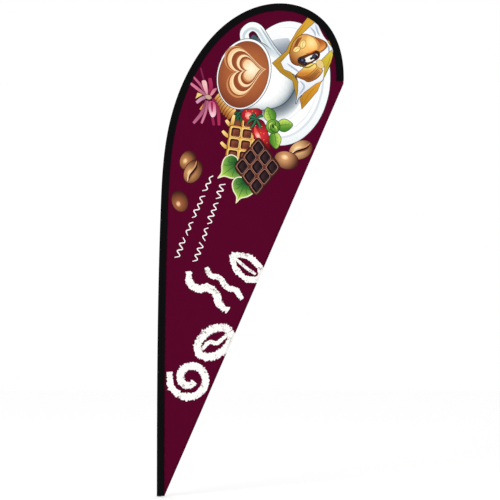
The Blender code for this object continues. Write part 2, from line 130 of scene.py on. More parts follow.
sleeve_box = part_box("pole_sleeve")
distances = np.linspace(MOUTH, PATH_LENGTH, 400)
places, _, normals = along_pole(distances)
outer = places - normals * sleeve_radius(distances)[:, None]
print("line reaches", round(float(outer[:, 1].max()), 4), "m, the frame", round(sleeve_box[1][2], 4))

# %% [markdown]
# ## Small helpers
# A cloth piece is a grid of points more often than not. One helper turns points and faces
# into an object, and one turns a grid of rows into a surface. Both leave the object at the
# origin, unturned, so that a pattern that reads object coordinates stays where it is.

# %% Helpers for new pieces
collection = bpy.data.collections.new("flag_cloth")
scene.collection.children.link(collection)


def new_piece(name, points, faces, material):
    mesh = bpy.data.meshes.new(name)
    mesh.from_pydata([tuple(p) for p in points], [], [tuple(f) for f in faces])
    mesh.validate()
    mesh.materials.append(material)
    piece = bpy.data.objects.new(name, mesh)
    collection.objects.link(piece)
    return piece


def grid_faces(rows, columns, closed=False):
    """Quads of a grid of points stored row by row."""
    faces = []
    last = columns if closed else columns - 1
    for r in range(rows - 1):
        for c in range(last):
            d = (c + 1) % columns
            faces.append((r * columns + c, (r + 1) * columns + c, (r + 1) * columns + d, r * columns + d))
    return faces


def applied(piece):
    """The piece's evaluated shape as its plain mesh, with no modifier left."""
    bpy.context.view_layer.update()
    graph = bpy.context.evaluated_depsgraph_get()
    mesh = bpy.data.meshes.new_from_object(piece.evaluated_get(graph), depsgraph=graph)
    piece.modifiers.clear()
    piece.data = mesh
    return piece


# %% [markdown]
# ## Shader groups
# Cloth, webbing and hems share a weave, and every piece that has stood outdoors shares a
# slight unevenness of colour. Each is a node group, built once with named inputs and placed
# in each material with its own values. The groups give out plain values and colours, and
# the Principled shader stays in the material.

# %% Node helpers
def feed(tree, socket, value):
    """Links a socket to another one, or sets its value."""
    if isinstance(value, bpy.types.NodeSocket):
        tree.links.new(value, socket)
    else:
        socket.default_value = value


def node(tree, kind, links=(), **values):
    """Adds a node, sets its properties, and links or sets its inputs by name or number."""
    made = tree.nodes.new(kind)
    for key, value in values.items():
        setattr(made, key, value)
    for socket, value in links:
        feed(tree, made.inputs[socket], value)
    return made


def maths(tree, operation, *values):
    return node(tree, "ShaderNodeMath", list(enumerate(values)), operation=operation).outputs[0]


def mixed(tree, factor, first, second):
    """One colour turning into another by a factor. The mix node's sockets go by identifier."""
    made = tree.nodes.new("ShaderNodeMix")
    made.data_type = "RGBA"
    sockets = {socket.identifier: socket for socket in made.inputs}
    for name, value in (("Factor_Float", factor), ("A_Color", first), ("B_Color", second)):
        feed(tree, sockets[name], value)
    return next(socket for socket in made.outputs if socket.identifier == "Result_Color")


def shader_group(name, inputs, outputs):
    """An empty shader group with its sockets, and its input and output nodes."""
    tree = bpy.data.node_groups.new(name, "ShaderNodeTree")
    for socket, kind, value in inputs:
        made = tree.interface.new_socket(socket, in_out="INPUT", socket_type=kind)
        if value is not None:
            made.default_value = value
    for socket, kind in outputs:
        tree.interface.new_socket(socket, in_out="OUTPUT", socket_type=kind)
    return tree, tree.nodes.new("NodeGroupInput"), tree.nodes.new("NodeGroupOutput")


def placed(tree, group, links):
    """A shader group placed in a tree, with its inputs linked or set."""
    return node(tree, "ShaderNodeGroup", links, node_tree=group)


FLOAT = "NodeSocketFloat"
VECTOR = "NodeSocketVector"
COLOUR = "NodeSocketColor"

# %% The weave group
def weave_group():
    """Threads crossing at right angles: their height, and a mask of the gaps between them."""
    tree, given, result = shader_group(
        "woven_threads",
        [("Position", VECTOR, None), ("Thread", FLOAT, 0.001), ("Slant", FLOAT, 0.0)],
        [("Height", FLOAT), ("Gaps", FLOAT)],
    )
    turned = node(tree, "ShaderNodeVectorRotate", [
        ("Vector", given.outputs["Position"]), ("Axis", (0, 1, 0)), ("Angle", given.outputs["Slant"])])
    split = node(tree, "ShaderNodeSeparateXYZ", [(0, turned.outputs[0])])
    rate = maths(tree, "DIVIDE", math.pi, given.outputs["Thread"])
    across = maths(tree, "SINE", maths(tree, "MULTIPLY", split.outputs["X"], rate))
    along = maths(tree, "SINE", maths(tree, "MULTIPLY", split.outputs["Z"], rate))
    product = maths(tree, "MULTIPLY", across, along)
    height = maths(tree, "ABSOLUTE", product)
    gaps = maths(tree, "LESS_THAN", height, 0.12)
    tree.links.new(height, result.inputs["Height"])
    tree.links.new(gaps, result.inputs["Gaps"])
    return tree


weave = weave_group()

# %% The unevenness group
def uneven_group():
    """Colour that drifts a little over a surface, with its scale and strength given."""
    tree, given, result = shader_group(
        "uneven_colour",
        [("Colour", COLOUR, (0.5, 0.5, 0.5, 1)), ("Position", VECTOR, None), ("Scale", FLOAT, 10.0),
         ("Strength", FLOAT, 0.1)],
        [("Colour", COLOUR), ("Value", FLOAT)],
    )
    noise = node(tree, "ShaderNodeTexNoise", [
        ("Vector", given.outputs["Position"]), ("Scale", given.outputs["Scale"]), ("Detail", 5.0)])
    drift = maths(tree, "SUBTRACT", noise.outputs[0], 0.5)
    amount = maths(tree, "MULTIPLY", drift, given.outputs["Strength"])
    value = maths(tree, "ADD", 1.0, maths(tree, "MULTIPLY", amount, 2.0))
    shaded = node(tree, "ShaderNodeHueSaturation", [
        ("Color", given.outputs["Colour"]), ("Value", value)])
    tree.links.new(shaded.outputs[0], result.inputs["Colour"])
    tree.links.new(noise.outputs[0], result.inputs["Value"])
    return tree


uneven = uneven_group()

# %% The worn edge group
def wear_group():
    """A mask of rubbed spots: noise inside scratches that run one way."""
    tree, given, result = shader_group(
        "rubbed_spots",
        [("Position", VECTOR, None), ("Stretch", VECTOR, (1.0, 1.0, 1.0)), ("Scale", FLOAT, 60.0),
         ("Amount", FLOAT, 0.3)],
        [("Mask", FLOAT), ("Height", FLOAT)],
    )
    drawn = node(tree, "ShaderNodeVectorMath", [
        (0, given.outputs["Position"]), (1, given.outputs["Stretch"])], operation="MULTIPLY")
    noise = node(tree, "ShaderNodeTexNoise", [
        ("Vector", drawn.outputs[0]), ("Scale", given.outputs["Scale"]), ("Detail", 6.0)])
    limit = maths(tree, "SUBTRACT", 0.75, maths(tree, "MULTIPLY", given.outputs["Amount"], 0.3))
    mask = node(tree, "ShaderNodeMapRange", [
        ("Value", noise.outputs[0]), ("From Min", limit), ("From Max", 0.8)])
    tree.links.new(mask.outputs[0], result.inputs["Mask"])
    tree.links.new(noise.outputs[0], result.inputs["Height"])
    return tree


wear = wear_group()
print("shader groups:", ", ".join(group.name for group in (weave, uneven, wear)))

# %% [markdown]
# ## Finishes of the hard pieces
# Ground steel shows fine lines round its axis, so its noise is drawn out sideways. The
# pultruded tubes have fibres along their length under a thin gloss. Moulded nylon is nearly
# black with a soft grain. One function per family makes each, with the colour and roughness
# that differ given as values.

# %% Finishes of the hard pieces
def started(name, roughness, metallic=0.0):
    """A material with its tree, its Principled shader and object coordinates."""
    material = bpy.data.materials.new(name)
    material.use_nodes = True
    tree = material.node_tree
    shader = tree.nodes["Principled BSDF"]
    shader.inputs["Roughness"].default_value = roughness
    shader.inputs["Metallic"].default_value = metallic
    place = tree.nodes.new("ShaderNodeTexCoord").outputs["Object"]
    return material, tree, shader, place


def bumped(tree, shader, height, distance, strength=1.0):
    bump = node(tree, "ShaderNodeBump", [
        ("Height", height), ("Distance", distance), ("Strength", strength)])
    tree.links.new(bump.outputs[0], shader.inputs["Normal"])


def metal(name, colour, roughness, stretch, scale):
    material, tree, shader, place = started(name, roughness, 1.0)
    base = placed(tree, uneven, [
        ("Colour", (*colour, 1)), ("Position", place), ("Scale", 25.0), ("Strength", 0.08)])
    lines = placed(tree, wear, [
        ("Position", place), ("Stretch", stretch), ("Scale", scale), ("Amount", 0.4)])
    tree.links.new(base.outputs["Colour"], shader.inputs["Base Color"])
    rough = maths(tree, "ADD", roughness, maths(tree, "MULTIPLY", lines.outputs["Height"], 0.18))
    tree.links.new(rough, shader.inputs["Roughness"])
    bumped(tree, shader, lines.outputs["Height"], 0.00004)
    return material


def moulded(name, colour, roughness, grain):
    material, tree, shader, place = started(name, roughness)
    base = placed(tree, uneven, [
        ("Colour", (*colour, 1)), ("Position", place), ("Scale", 90.0), ("Strength", 0.15)])
    skin = placed(tree, wear, [("Position", place), ("Scale", grain), ("Amount", 0.5)])
    tree.links.new(base.outputs["Colour"], shader.inputs["Base Color"])
    rough = maths(tree, "SUBTRACT", roughness, maths(tree, "MULTIPLY", skin.outputs["Mask"], 0.15))
    tree.links.new(rough, shader.inputs["Roughness"])
    bumped(tree, shader, skin.outputs["Height"], 0.00005)
    return material


def pultruded(name, colour):
    material, tree, shader, place = started(name, 0.34)
    fibres = placed(tree, wear, [
        ("Position", place), ("Stretch", (1.0, 1.0, 0.02)), ("Scale", 900.0), ("Amount", 0.6)])
    base = placed(tree, uneven, [
        ("Colour", (*colour, 1)), ("Position", place), ("Scale", 12.0), ("Strength", 0.1)])
    paler = mixed(tree, fibres.outputs["Mask"], base.outputs["Colour"], (*[c * 2.2 for c in colour], 1))
    tree.links.new(paler, shader.inputs["Base Color"])
    shader.inputs["Coat Weight"].default_value = 0.4
    shader.inputs["Coat Roughness"].default_value = 0.15
    bumped(tree, shader, fibres.outputs["Height"], 0.00003)
    return material


steel = metal("ground_steel", (0.50, 0.51, 0.52), 0.28, (1.0, 1.0, 14.0), 220.0)
aluminium = metal("satin_aluminium", (0.62, 0.63, 0.65), 0.36, (1.0, 1.0, 6.0), 300.0)
nylon = moulded("black_nylon", (0.018, 0.018, 0.02), 0.42, 1800.0)
glassfibre = pultruded("glassfibre_tube", (0.055, 0.056, 0.06))
HARD = {
    steel: ["swivel_spindle", "lower_race", "upper_race", "collar_pin", "grub_screw",
            *[f"bearing_ball_{i}" for i in range(1, 7)]],
    nylon: ["ball_cage", "foot_bush", "top_bush", "tension_collar", "tip_cap"],
    glassfibre: ["base_tube", "lower_tube", "middle_tube", "upper_tube", "tip_rod"],
    aluminium: [f"ferrule_ring_{i}" for i in range(1, 5)],
}
for finish, names in HARD.items():
    for name in names:
        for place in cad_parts[name].material_slots:
            place.material = finish
print("finished", sum(len(names) for names in HARD.values()), "hard pieces")

# %% [markdown]
# ## Finishes of the cloth
# Sleeve, strap and hem are woven or ribbed yarn with little shine. The panel is a thin
# warp-knit cloth whose dye colours come from the mesh. A second value beside each colour
# says how chalky the print is there, and noise then eats small gaps into it, the way a dry
# brush leaves the ground showing.

# %% Finishes of the cloth
def woven(name, colour, thread, slant=0.0, shade=0.5, roughness=0.85):
    material, tree, shader, place = started(name, roughness)
    threads = placed(tree, weave, [("Position", place), ("Thread", thread), ("Slant", slant)])
    base = placed(tree, uneven, [
        ("Colour", (*colour, 1)), ("Position", place), ("Scale", 18.0), ("Strength", 0.16)])
    # Painted shade: the colour is darkened in the gaps between the threads, where shade falls.
    gap_shade = maths(tree, "MULTIPLY", threads.outputs["Gaps"], shade)
    dark = mixed(tree, gap_shade, base.outputs["Colour"], (*[c * 0.35 for c in colour], 1))
    tree.links.new(dark, shader.inputs["Base Color"])
    shader.inputs["Specular IOR Level"].default_value = 0.05
    bumped(tree, shader, threads.outputs["Height"], thread * 0.3, 0.6)
    return material


PENCIL_FROM = 0.7
PLAIN_FROM = 0.95


def printed(name, ground):
    """Printed cloth. The dye's alpha says whether it is chalky, drawn in pencil or plain."""
    material, tree, shader, place = started(name, 0.62)
    dye = node(tree, "ShaderNodeAttribute", attribute_name="dye")
    dry = node(tree, "ShaderNodeTexNoise", [
        ("Vector", place), ("Scale", 190.0), ("Detail", 4.0), ("Roughness", 0.7)])
    grain = node(tree, "ShaderNodeTexNoise", [
        ("Vector", place), ("Scale", 32.0), ("Detail", 3.0)])
    mottle = maths(tree, "ADD", maths(tree, "MULTIPLY", dry.outputs[0], 0.6),
                   maths(tree, "MULTIPLY", grain.outputs[0], 0.4))
    limit = maths(tree, "ADD", 0.56, maths(tree, "MULTIPLY", dye.outputs["Alpha"], 0.12))
    missed = node(tree, "ShaderNodeMapRange", [
        ("Value", mottle), ("From Min", limit), ("From Max", maths(tree, "ADD", limit, 0.03))])
    chalky = maths(tree, "LESS_THAN", dye.outputs["Alpha"], PENCIL_FROM)
    gaps = maths(tree, "MULTIPLY", missed.outputs[0], maths(tree, "MULTIPLY", chalky, 0.85))
    colour = mixed(tree, gaps, dye.outputs["Color"], (*ground, 1))
    leaning = node(tree, "ShaderNodeMapping", [
        ("Vector", place), ("Rotation", (0, 0.9, 0)), ("Scale", (900, 900, 90))])
    lines = node(tree, "ShaderNodeTexNoise", [
        ("Vector", leaning.outputs[0]), ("Scale", 1.0), ("Detail", 2.0)])
    not_plain = maths(tree, "LESS_THAN", dye.outputs["Alpha"], PLAIN_FROM)
    drawn = maths(tree, "MULTIPLY", maths(tree, "SUBTRACT", 1.0, chalky), not_plain)
    tone = maths(tree, "MULTIPLY", maths(tree, "SUBTRACT", lines.outputs[0], 0.5),
                 maths(tree, "MULTIPLY", drawn, 0.5))
    pencilled = node(tree, "ShaderNodeHueSaturation", [
        ("Color", colour), ("Value", maths(tree, "ADD", 1.0, tone))])
    softened = placed(tree, uneven, [
        ("Colour", pencilled.outputs[0]), ("Position", place), ("Scale", 6.0), ("Strength", 0.03)])
    knit = placed(tree, weave, [("Position", place), ("Thread", 0.0011), ("Slant", 0.785)])
    tree.links.new(softened.outputs["Colour"], shader.inputs["Base Color"])
    shader.inputs["Specular IOR Level"].default_value = 0.03
    bumped(tree, shader, knit.outputs["Height"], 0.00012, 0.5)
    return material


def linear(colour):
    """Display colours from 0 to 255 as the linear values a shader works in."""
    scaled = np.asarray(colour, dtype=float) / 255
    return np.where(scaled <= 0.04045, scaled / 12.92, ((scaled + 0.055) / 1.055) ** 2.4)


GROUND = (82, 0, 36)
oxford = woven("sleeve_oxford", (0.0030, 0.0030, 0.0036), 0.0012)
webbing = woven("ribbed_webbing", (0.018, 0.018, 0.021), 0.0016, slant=0.785)
hem_cloth = woven("hem_cloth", tuple(linear((62, 0, 28))), 0.0010)
dark_thread = woven("dark_thread", tuple(linear((34, 4, 18))), 0.0004, roughness=0.6)
black_thread = woven("black_thread", (0.045, 0.045, 0.05), 0.0004, roughness=0.55)
print_cloth = printed("printed_polyester", tuple(linear(GROUND)))

# %% [markdown]
# ## The panel's shape in the wind
# The sleeve holds one edge of the panel and the hem holds the other, and the wind presses
# the cloth between them into a shallow belly. Cloth physics finds that shape: a coarse grid
# with a little slack, both long edges pinned, and an even pressure. The grid is then
# refined with a smooth curve through its points.

# %% The panel's shape in the wind
TUCK = 0.0035
CORNER_DROP = 0.015
TRAIL_START = 0.002
SEAL = 0.0003
CLOSE = 0.0001
GRID_ROWS = 96
GRID_COLUMNS = 26
WIND_FRAMES = 45
BELLY_TOP = 0.029
BEND_FROM = 1.4
FINER = 4


def panel_edges():
    """The seam edge as (x, z) rows, and the two ends of the straight trailing edge."""
    s = np.concatenate([np.linspace(MOUTH, BEND_FROM, 60), np.linspace(BEND_FROM, PATH_LENGTH, 340)[1:]])
    middle, _, inward = along_pole(s)
    seam = middle + inward * (lip_reach(s) - TUCK)[:, None]
    end, ahead, inward = (row[0] for row in along_pole(np.array([PATH_LENGTH])))
    radius = float(sleeve_radius(PATH_LENGTH))
    under = end + ahead * CLOSE
    closing = [under + inward * (radius * share) for share in (2.0, 1.0, 0.0, -0.95)]
    corner = end - inward * (radius - SEAL) + ahead * CORNER_DROP
    foot, _, inward = (row[0] for row in along_pole(np.array([MOUTH])))
    low = foot + inward * (float(lip_reach(MOUTH)) + TRAIL_START)
    return np.vstack([seam, closing]), low, corner


SEAM, LOW_CORNER, TIP_CORNER = panel_edges()


def spread(line, count):
    """Points at even distances along a line."""
    runs = np.concatenate([[0.0], np.cumsum(np.hypot(*np.diff(line, axis=0).T))])
    wanted = np.linspace(0.0, runs[-1], count)
    return np.column_stack([np.interp(wanted, runs, line[:, k]) for k in range(2)])


def flat_grid():
    starts = spread(SEAM, GRID_ROWS)
    ends = spread(np.array([LOW_CORNER, TIP_CORNER]), GRID_ROWS)
    across = np.linspace(0.0, 1.0, GRID_COLUMNS)[None, :, None]
    flat = starts[:, None, :] * (1 - across) + ends[:, None, :] * across
    return np.dstack([flat[..., 0], np.zeros(flat.shape[:2]), flat[..., 1]])


def blown(rest):
    """The grid after the wind has pressed it, with both long edges held."""
    rows, columns = rest.shape[:2]
    piece = new_piece("wind_test", rest.reshape(-1, 3), grid_faces(rows, columns), print_cloth)
    held = piece.vertex_groups.new(name="held")
    edge = [r * columns + c for r in range(rows) for c in range(columns)
            if c in (0, columns - 1) or r in (0, rows - 1)]
    held.add(edge, 1.0, "REPLACE")
    cloth = piece.modifiers.new("Cloth", "CLOTH")
    made = cloth.settings
    made.vertex_group_mass = "held"
    made.quality = 5
    made.mass = 0.05
    made.tension_stiffness = 25
    made.compression_stiffness = 5
    made.shear_stiffness = 8
    made.bending_stiffness = 0.6
    made.air_damping = 4
    made.shrink_min = -0.006
    made.use_pressure = True
    made.uniform_pressure_force = -0.35
    made.effector_weights.gravity = 0.0
    cloth.collision_settings.use_collision = False
    cloth.point_cache.frame_start = 1
    cloth.point_cache.frame_end = WIND_FRAMES
    for number in range(1, WIND_FRAMES + 1):
        scene.frame_set(number)
    graph = bpy.context.evaluated_depsgraph_get()
    mesh = piece.evaluated_get(graph).data
    points = np.array([v.co for v in mesh.vertices]).reshape(rest.shape)
    bpy.data.objects.remove(piece)
    scene.frame_set(1)
    return points


def refined(grid, times, axis):
    """A smooth curve through the grid's points along one axis, sampled that many times finer."""
    points = np.moveaxis(grid, axis, 0)
    padded = np.concatenate([2 * points[:1] - points[1:2], points, 2 * points[-1:] - points[-2:-1]])
    place = np.linspace(0, len(points) - 1, (len(points) - 1) * times + 1)
    first = np.minimum(place.astype(int), len(points) - 2)
    t = (place - first).reshape(-1, *[1] * (points.ndim - 1))
    a, b, c, d = (padded[first + k] for k in range(4))
    fine = 0.5 * (2 * b + (c - a) * t + (2 * a - 5 * b + 4 * c - d) * t ** 2
                  + (3 * b - a - 3 * c + d) * t ** 3)
    return np.moveaxis(fine, 0, axis)


rest_grid = flat_grid()
wind_grid = rest_grid.copy()
wind_grid = blown(rest_grid)
print("cloth physics moved the belly to", round(float(wind_grid[..., 1].max()), 4), "m, and to",
      round(float(wind_grid[..., 1].min()), 4))
drift = wind_grid - rest_grid
drift *= BELLY_TOP / np.abs(drift[..., 1]).max()
drift[..., 1] *= np.sign(drift[..., 1].sum())
wind_grid = rest_grid + drift
rest_grid = refined(refined(rest_grid, FINER, 0), FINER, 1)
wind_grid = refined(refined(wind_grid, FINER, 0), FINER, 1)
ROWS, COLUMNS = rest_grid.shape[:2]


class Wind:
    """Carries points of the flat panel onto its shape in the wind."""

    def __init__(self, flat, moved):
        self.flat = [Vector(p) for p in flat.reshape(-1, 3)]
        self.moved = [Vector(p) for p in moved.reshape(-1, 3)]
        quads = grid_faces(*flat.shape[:2])
        self.faces = [q[:3] for q in quads] + [(q[0], q[2], q[3]) for q in quads]
        self.tree = BVHTree.FromPolygons(self.flat, self.faces)

    def carry(self, x, z):
        point = Vector((x, 0.0, z))
        near, _, index, _ = self.tree.find_nearest(point)
        a, b, c = self.faces[index]
        shift = barycentric_transform(
            near, self.flat[a], self.flat[b], self.flat[c], self.moved[a], self.moved[b], self.moved[c])
        return shift + (point - near)


wind = Wind(rest_grid, wind_grid)
print("wind grid", ROWS, "by", COLUMNS, "belly", round(float(wind_grid[..., 1].max()), 4))

# %% [markdown]
# ## Drawing tools for the print
# A printer puts colour on cloth as flat shapes and soft gradients, one over another. The
# same is done here with outlines in metres on the flat cloth: each outline has a function
# that gives its colour at any place, and a later outline lies over an earlier one. A curve
# through a few points is enough for most shapes, and a stroke is a band along such a curve.

# %% Drawing tools
INK = (38, 14, 20)
INK_WIDTH = 0.0028
PENCIL, FINE_CHALK, BROAD_CHALK = 0.8, 0.6, 0.0
layers = []


def curve(points, closed=True, per=7):
    """A smooth curve through points (a Catmull-Rom spline)."""
    points = np.asarray(points, dtype=float)
    if closed:
        ring = np.vstack([points[-1:], points, points[:2]])
    else:
        ring = np.vstack([2 * points[:1] - points[1:2], points, 2 * points[-1:] - points[-2:-1]])
    t = np.linspace(0.0, 1.0, per, endpoint=False)[:, None]
    made = []
    for a, b, c, d in zip(ring, ring[1:], ring[2:], ring[3:]):
        made.append(0.5 * (2 * b + (c - a) * t + (2 * a - 5 * b + 4 * c - d) * t ** 2
                           + (3 * b - a - 3 * c + d) * t ** 3))
    if not closed:
        made.append(points[-1:])
    return np.vstack(made)


def around(centre, turn=0.0):
    """Turns centimetres about a motif's own centre into metres on the flag."""
    c, s = math.cos(math.radians(turn)), math.sin(math.radians(turn))

    def place(*points):
        p = np.array(points, dtype=float) / 100
        return np.column_stack([centre[0] + p[:, 0] * c - p[:, 1] * s,
                                centre[1] + p[:, 0] * s + p[:, 1] * c])
    return place


def oval(centre, wide, high, turn=0.0, count=56, part=(0.0, 1.0)):
    """An oval or a part of one, from its half width and half height."""
    angle = np.linspace(part[0], part[1], count, endpoint=part != (0.0, 1.0)) * 2 * math.pi
    flat = np.column_stack([wide * np.cos(angle), high * np.sin(angle)]) * 100
    return around(centre, turn)(*flat)


def area_of(outline):
    x, z = outline.T
    return 0.5 * float(np.sum(x * np.roll(z, -1) - np.roll(x, -1) * z))


def grown(outline, by):
    """An outline moved outwards."""
    ahead = np.roll(outline, -1, axis=0) - np.roll(outline, 1, axis=0)
    out = np.column_stack([ahead[:, 1], -ahead[:, 0]])
    out /= np.maximum(np.hypot(*out.T), 1e-9)[:, None]
    return outline + out * by * np.sign(area_of(outline))


def stroke(points, width, taper=0.0, rough=0.0, seed=0, closed=False, per=9):
    """A band along a curve, thinner at its ends by the taper and ragged by rough metres."""
    line = curve(points, closed, per)
    ahead = np.gradient(line, axis=0)
    side = np.column_stack([-ahead[:, 1], ahead[:, 0]])
    side /= np.maximum(np.hypot(*side.T), 1e-9)[:, None]
    share = np.linspace(0.0, 1.0, len(line))
    half = width / 2 * (1 - taper * np.abs(2 * share - 1) ** 3)
    chance = np.random.default_rng(seed)
    left = line + side * (half + rough * chance.normal(size=len(line)))[:, None]
    right = line - side * (half + rough * chance.normal(size=len(line)))[:, None]
    return np.vstack([left, right[::-1]])


def flat(colour):
    return lambda x, z: np.tile(np.asarray(colour, dtype=float), (len(x), 1))


def along(first, second, start, end):
    """One colour turning into another from one place to another."""
    first, second = (np.asarray(c, dtype=float) for c in (first, second))
    run = np.subtract(end, start)

    def shade(x, z):
        t = ((x - start[0]) * run[0] + (z - start[1]) * run[1]) / float(run @ run)
        t = np.clip(t, 0.0, 1.0)[:, None]
        return first + (second - first) * t * t * (3 - 2 * t)
    return shade


def rounded(inner, outer, centre, reach, power=2.0):
    """A colour at a centre turning into another at that distance from it."""
    inner, outer = (np.asarray(c, dtype=float) for c in (inner, outer))

    def shade(x, z):
        t = np.clip(np.hypot(x - centre[0], z - centre[1]) / reach, 0.0, 1.0)[:, None] ** power
        return inner + (outer - inner) * t
    return shade


def paint(outline, colour, cover=PENCIL):
    layers.append((outline, colour if callable(colour) else flat(colour), cover))


def inked(outline, colour, ink=INK, width=INK_WIDTH):
    paint(grown(outline, width), ink)
    paint(outline, colour)


# %% [markdown]
# ## The motifs
# The print is a café still life: a large cup on its saucer, a pastry in a napkin, biscuits,
# berries, mint, two waffles, leaves and scattered beans. Each motif is a short function or
# a few lines of its own. Everything here is a plain, generic drawing of the thing.

# %% Motifs: beans, leaves, berries and waffles
def bean(centre, long, wide, turn, seam=False, tones=((222, 164, 112), (66, 30, 22))):
    body = oval(centre, long / 2, wide / 2, turn, 40)
    shine = around(centre, turn)((-long * 10, wide * 14))[0]
    paint(grown(body, 0.003), rounded((60, 20, 25), GROUND, centre, long * 0.62, 4.0))
    paint(body, rounded(tones[0], tones[1], shine, long * 0.58, 1.5))
    glint = oval(shine, long * 0.16, wide * 0.13, turn, 20)
    paint(glint, rounded((252, 226, 178), tones[0], shine, long * 0.15, 1.2))
    if seam:
        place = around(centre, turn)
        half = long * 50
        groove = place((-half * 0.92, -half * 0.06), (-half * 0.45, half * 0.06), (0, 0),
                       (half * 0.45, -half * 0.06), (half * 0.92, half * 0.06))
        up = (place((0, 1))[0] - np.array(centre)) * 0.55
        ends = groove[0], groove[-1]
        paint(stroke(groove - up * 0.6, 0.014, 0.9), along((160, 96, 62), (120, 62, 42), *ends))
        paint(stroke(groove + up, 0.012, 0.9), along((240, 204, 164), (196, 134, 92), *ends))
        paint(stroke(groove, 0.0085, 0.85), (20, 8, 10))


def heart_leaf(centre, size, turn):
    """A broad leaf with a pale rim. Its tip points along +x before it is turned."""
    place = around(centre, turn)
    k = size * 100
    half = [(0.38, 0.10), (0.20, 0.32), (-0.05, 0.47), (-0.32, 0.42), (-0.44, 0.18)]
    shape = [(0.62, 0.0), *half, (-0.36, 0.0), *[(x, -z) for x, z in reversed(half)]]
    rim = curve(place(*[(x * k, z * k) for x, z in shape]))
    inked(rim, (236, 228, 196), (50, 20, 25), 0.002)
    inner = grown(rim, -0.0055)
    paint(inner, rounded((6, 66, 34), (184, 220, 88), place((-0.40 * k, 0))[0], size * 0.80, 1.3))
    for end in ((0.42, 0.0), (0.12, 0.30), (0.12, -0.30), (-0.20, 0.36), (-0.20, -0.36)):
        vein = place((-0.34 * k, 0), (end[0] * 0.4 * k, end[1] * 0.62 * k), (end[0] * k, end[1] * k))
        paint(stroke(vein, 0.0022, 0.8), (20, 74, 38))


def mint_leaf(centre, long, wide, turn):
    place = around(centre, turn)
    a, b = long * 50, wide * 50
    shape = curve(place((-a, 0), (-0.55 * a, 0.75 * b), (0, b), (0.55 * a, 0.68 * b), (a, 0),
                        (0.55 * a, -0.68 * b), (0, -b), (-0.55 * a, -0.75 * b)))
    inked(shape, along((188, 216, 96), (64, 122, 36), place((0, b))[0], place((0, -b))[0]), (28, 60, 24))
    paint(stroke(place((-a * 0.9, 0), (0, a * 0.06), (a * 0.8, 0)), 0.003, 0.9), (52, 100, 34))
    for k in (-0.45, 0.0, 0.42):
        for side in (-1, 1):
            vein = place((k * a, 0), ((k + 0.2) * a, side * 0.35 * b), ((k + 0.34) * a, side * 0.62 * b))
            paint(stroke(vein, 0.0018, 0.9), (82, 138, 44))


def berry(centre, outline, shine, seeds):
    """A strawberry: its outline, its light and the places of its seeds."""
    place = around(centre)
    body = curve(place(*outline))
    light = place(*shine)
    middle = body.mean(axis=0)
    inked(body, rounded((208, 48, 56), (112, 10, 26), middle, 0.062, 1.5), (80, 8, 20))
    paint(curve(light), rounded((252, 214, 196), (226, 76, 66), light.mean(axis=0), 0.022, 1.0))
    for seed in place(*seeds):
        paint(oval(seed, 0.0022, 0.0014, 40, 8), (246, 196, 96))


def waffle(centre, turn, pitch, cells, ridge, rim, pocket, sunk, skew=0.0, squat=1.0):
    """A waffle: a scalloped slab, a grid of sunk pockets, and a light rim round each pocket."""
    place = around(centre, turn)
    inside_cells = [(i, j) for j, row in enumerate(cells) for i, filled in enumerate(row) if filled]
    middle_i = (len(cells[0]) - 1) / 2
    middle_j = (len(cells) - 1) / 2

    def cell(i, j, half, shift=0.0, corner=1.0):
        """A rounded cell of the lattice, from its half width as a share of the pitch."""
        k = half * corner
        ring = [(-half, 0), (-k, k), (0, half), (k, k), (half, 0), (k, -k), (0, -half), (-k, -k)]
        spots = []
        for u, v in ring:
            across, up = i - middle_i + u + shift, middle_j - j + v - shift
            spots.append(((across - skew * up) * pitch * 100, up * squat * pitch * 100))
        return place(*spots)

    for half, tone in ((0.66, (34, 14, 16)), (0.61, ridge[1])):
        for i, j in inside_cells:
            paint(curve(cell(i, j, half, 0, 0.82), per=4), tone)
    for i, j in inside_cells:
        slab = cell(i, j, 0.5)
        paint(slab[1::2], along(ridge[0], ridge[1], slab[1], slab[5]))
    for i, j in inside_cells:
        hole = cell(i, j, sunk, 0, 0.88)
        paint(grown(curve(hole, per=4), 0.0022), rim)
        paint(curve(hole, per=4), pocket[0])
        floor_of = cell(i, j, sunk * 0.72, 0.045, 0.88)
        paint(curve(floor_of, per=4), along(pocket[1], pocket[2], floor_of[1], floor_of[5]))
        glint = np.array([hole[7], hole[6], hole[5]]) * 0.86 + hole.mean(axis=0) * 0.14
        paint(stroke(glint, 0.003, 0.8), [min(255, c * 1.25) for c in pocket[1]])


# %% Motifs: the saucer
SAUCER = (0.614, 2.014)
WHITE = (250, 251, 250)
RING_LEAN = -8

saucer = around(SAUCER)
rim_shade = rounded(WHITE, (226, 231, 234), (0.57, 2.04), 0.33, 4.0)
inked(oval(SAUCER, 0.217, 0.303, RING_LEAN, 96), rim_shade, (66, 58, 68))
well = oval((0.608, 2.017), 0.194, 0.272, RING_LEAN, 96)
paint(well, rounded((184, 194, 202), (214, 220, 226), (0.52, 2.05), 0.30, 2.5))
floor_of_well = oval((0.604, 2.021), 0.188, 0.266, RING_LEAN, 96)
paint(floor_of_well, rounded((222, 227, 230), (246, 247, 247), (0.48, 2.06), 0.25, 1.5))
for reach, tone in ((0.172, (226, 231, 235)), (0.134, (232, 236, 239))):
    groove = oval((0.602, 2.022), reach, reach * 1.42, RING_LEAN, 40, (0.60, 1.02))
    paint(stroke(groove, 0.007, 0.9, per=3), tone)
cast = oval((0.555, 2.010), 0.155, 0.190, -12, 60)
paint(cast, rounded((60, 72, 84), (226, 231, 234), (0.535, 2.020), 0.185, 4.0))
behind_handle = saucer((-11, 19), (-6.5, 21), (-1, 22), (2, 21.5), (2.5, 16.5), (-1.5, 12.5), (-7.5, 13.5))
paint(curve(behind_handle), along((128, 136, 148), (206, 212, 218), (0.60, 2.16), (0.575, 2.245)))

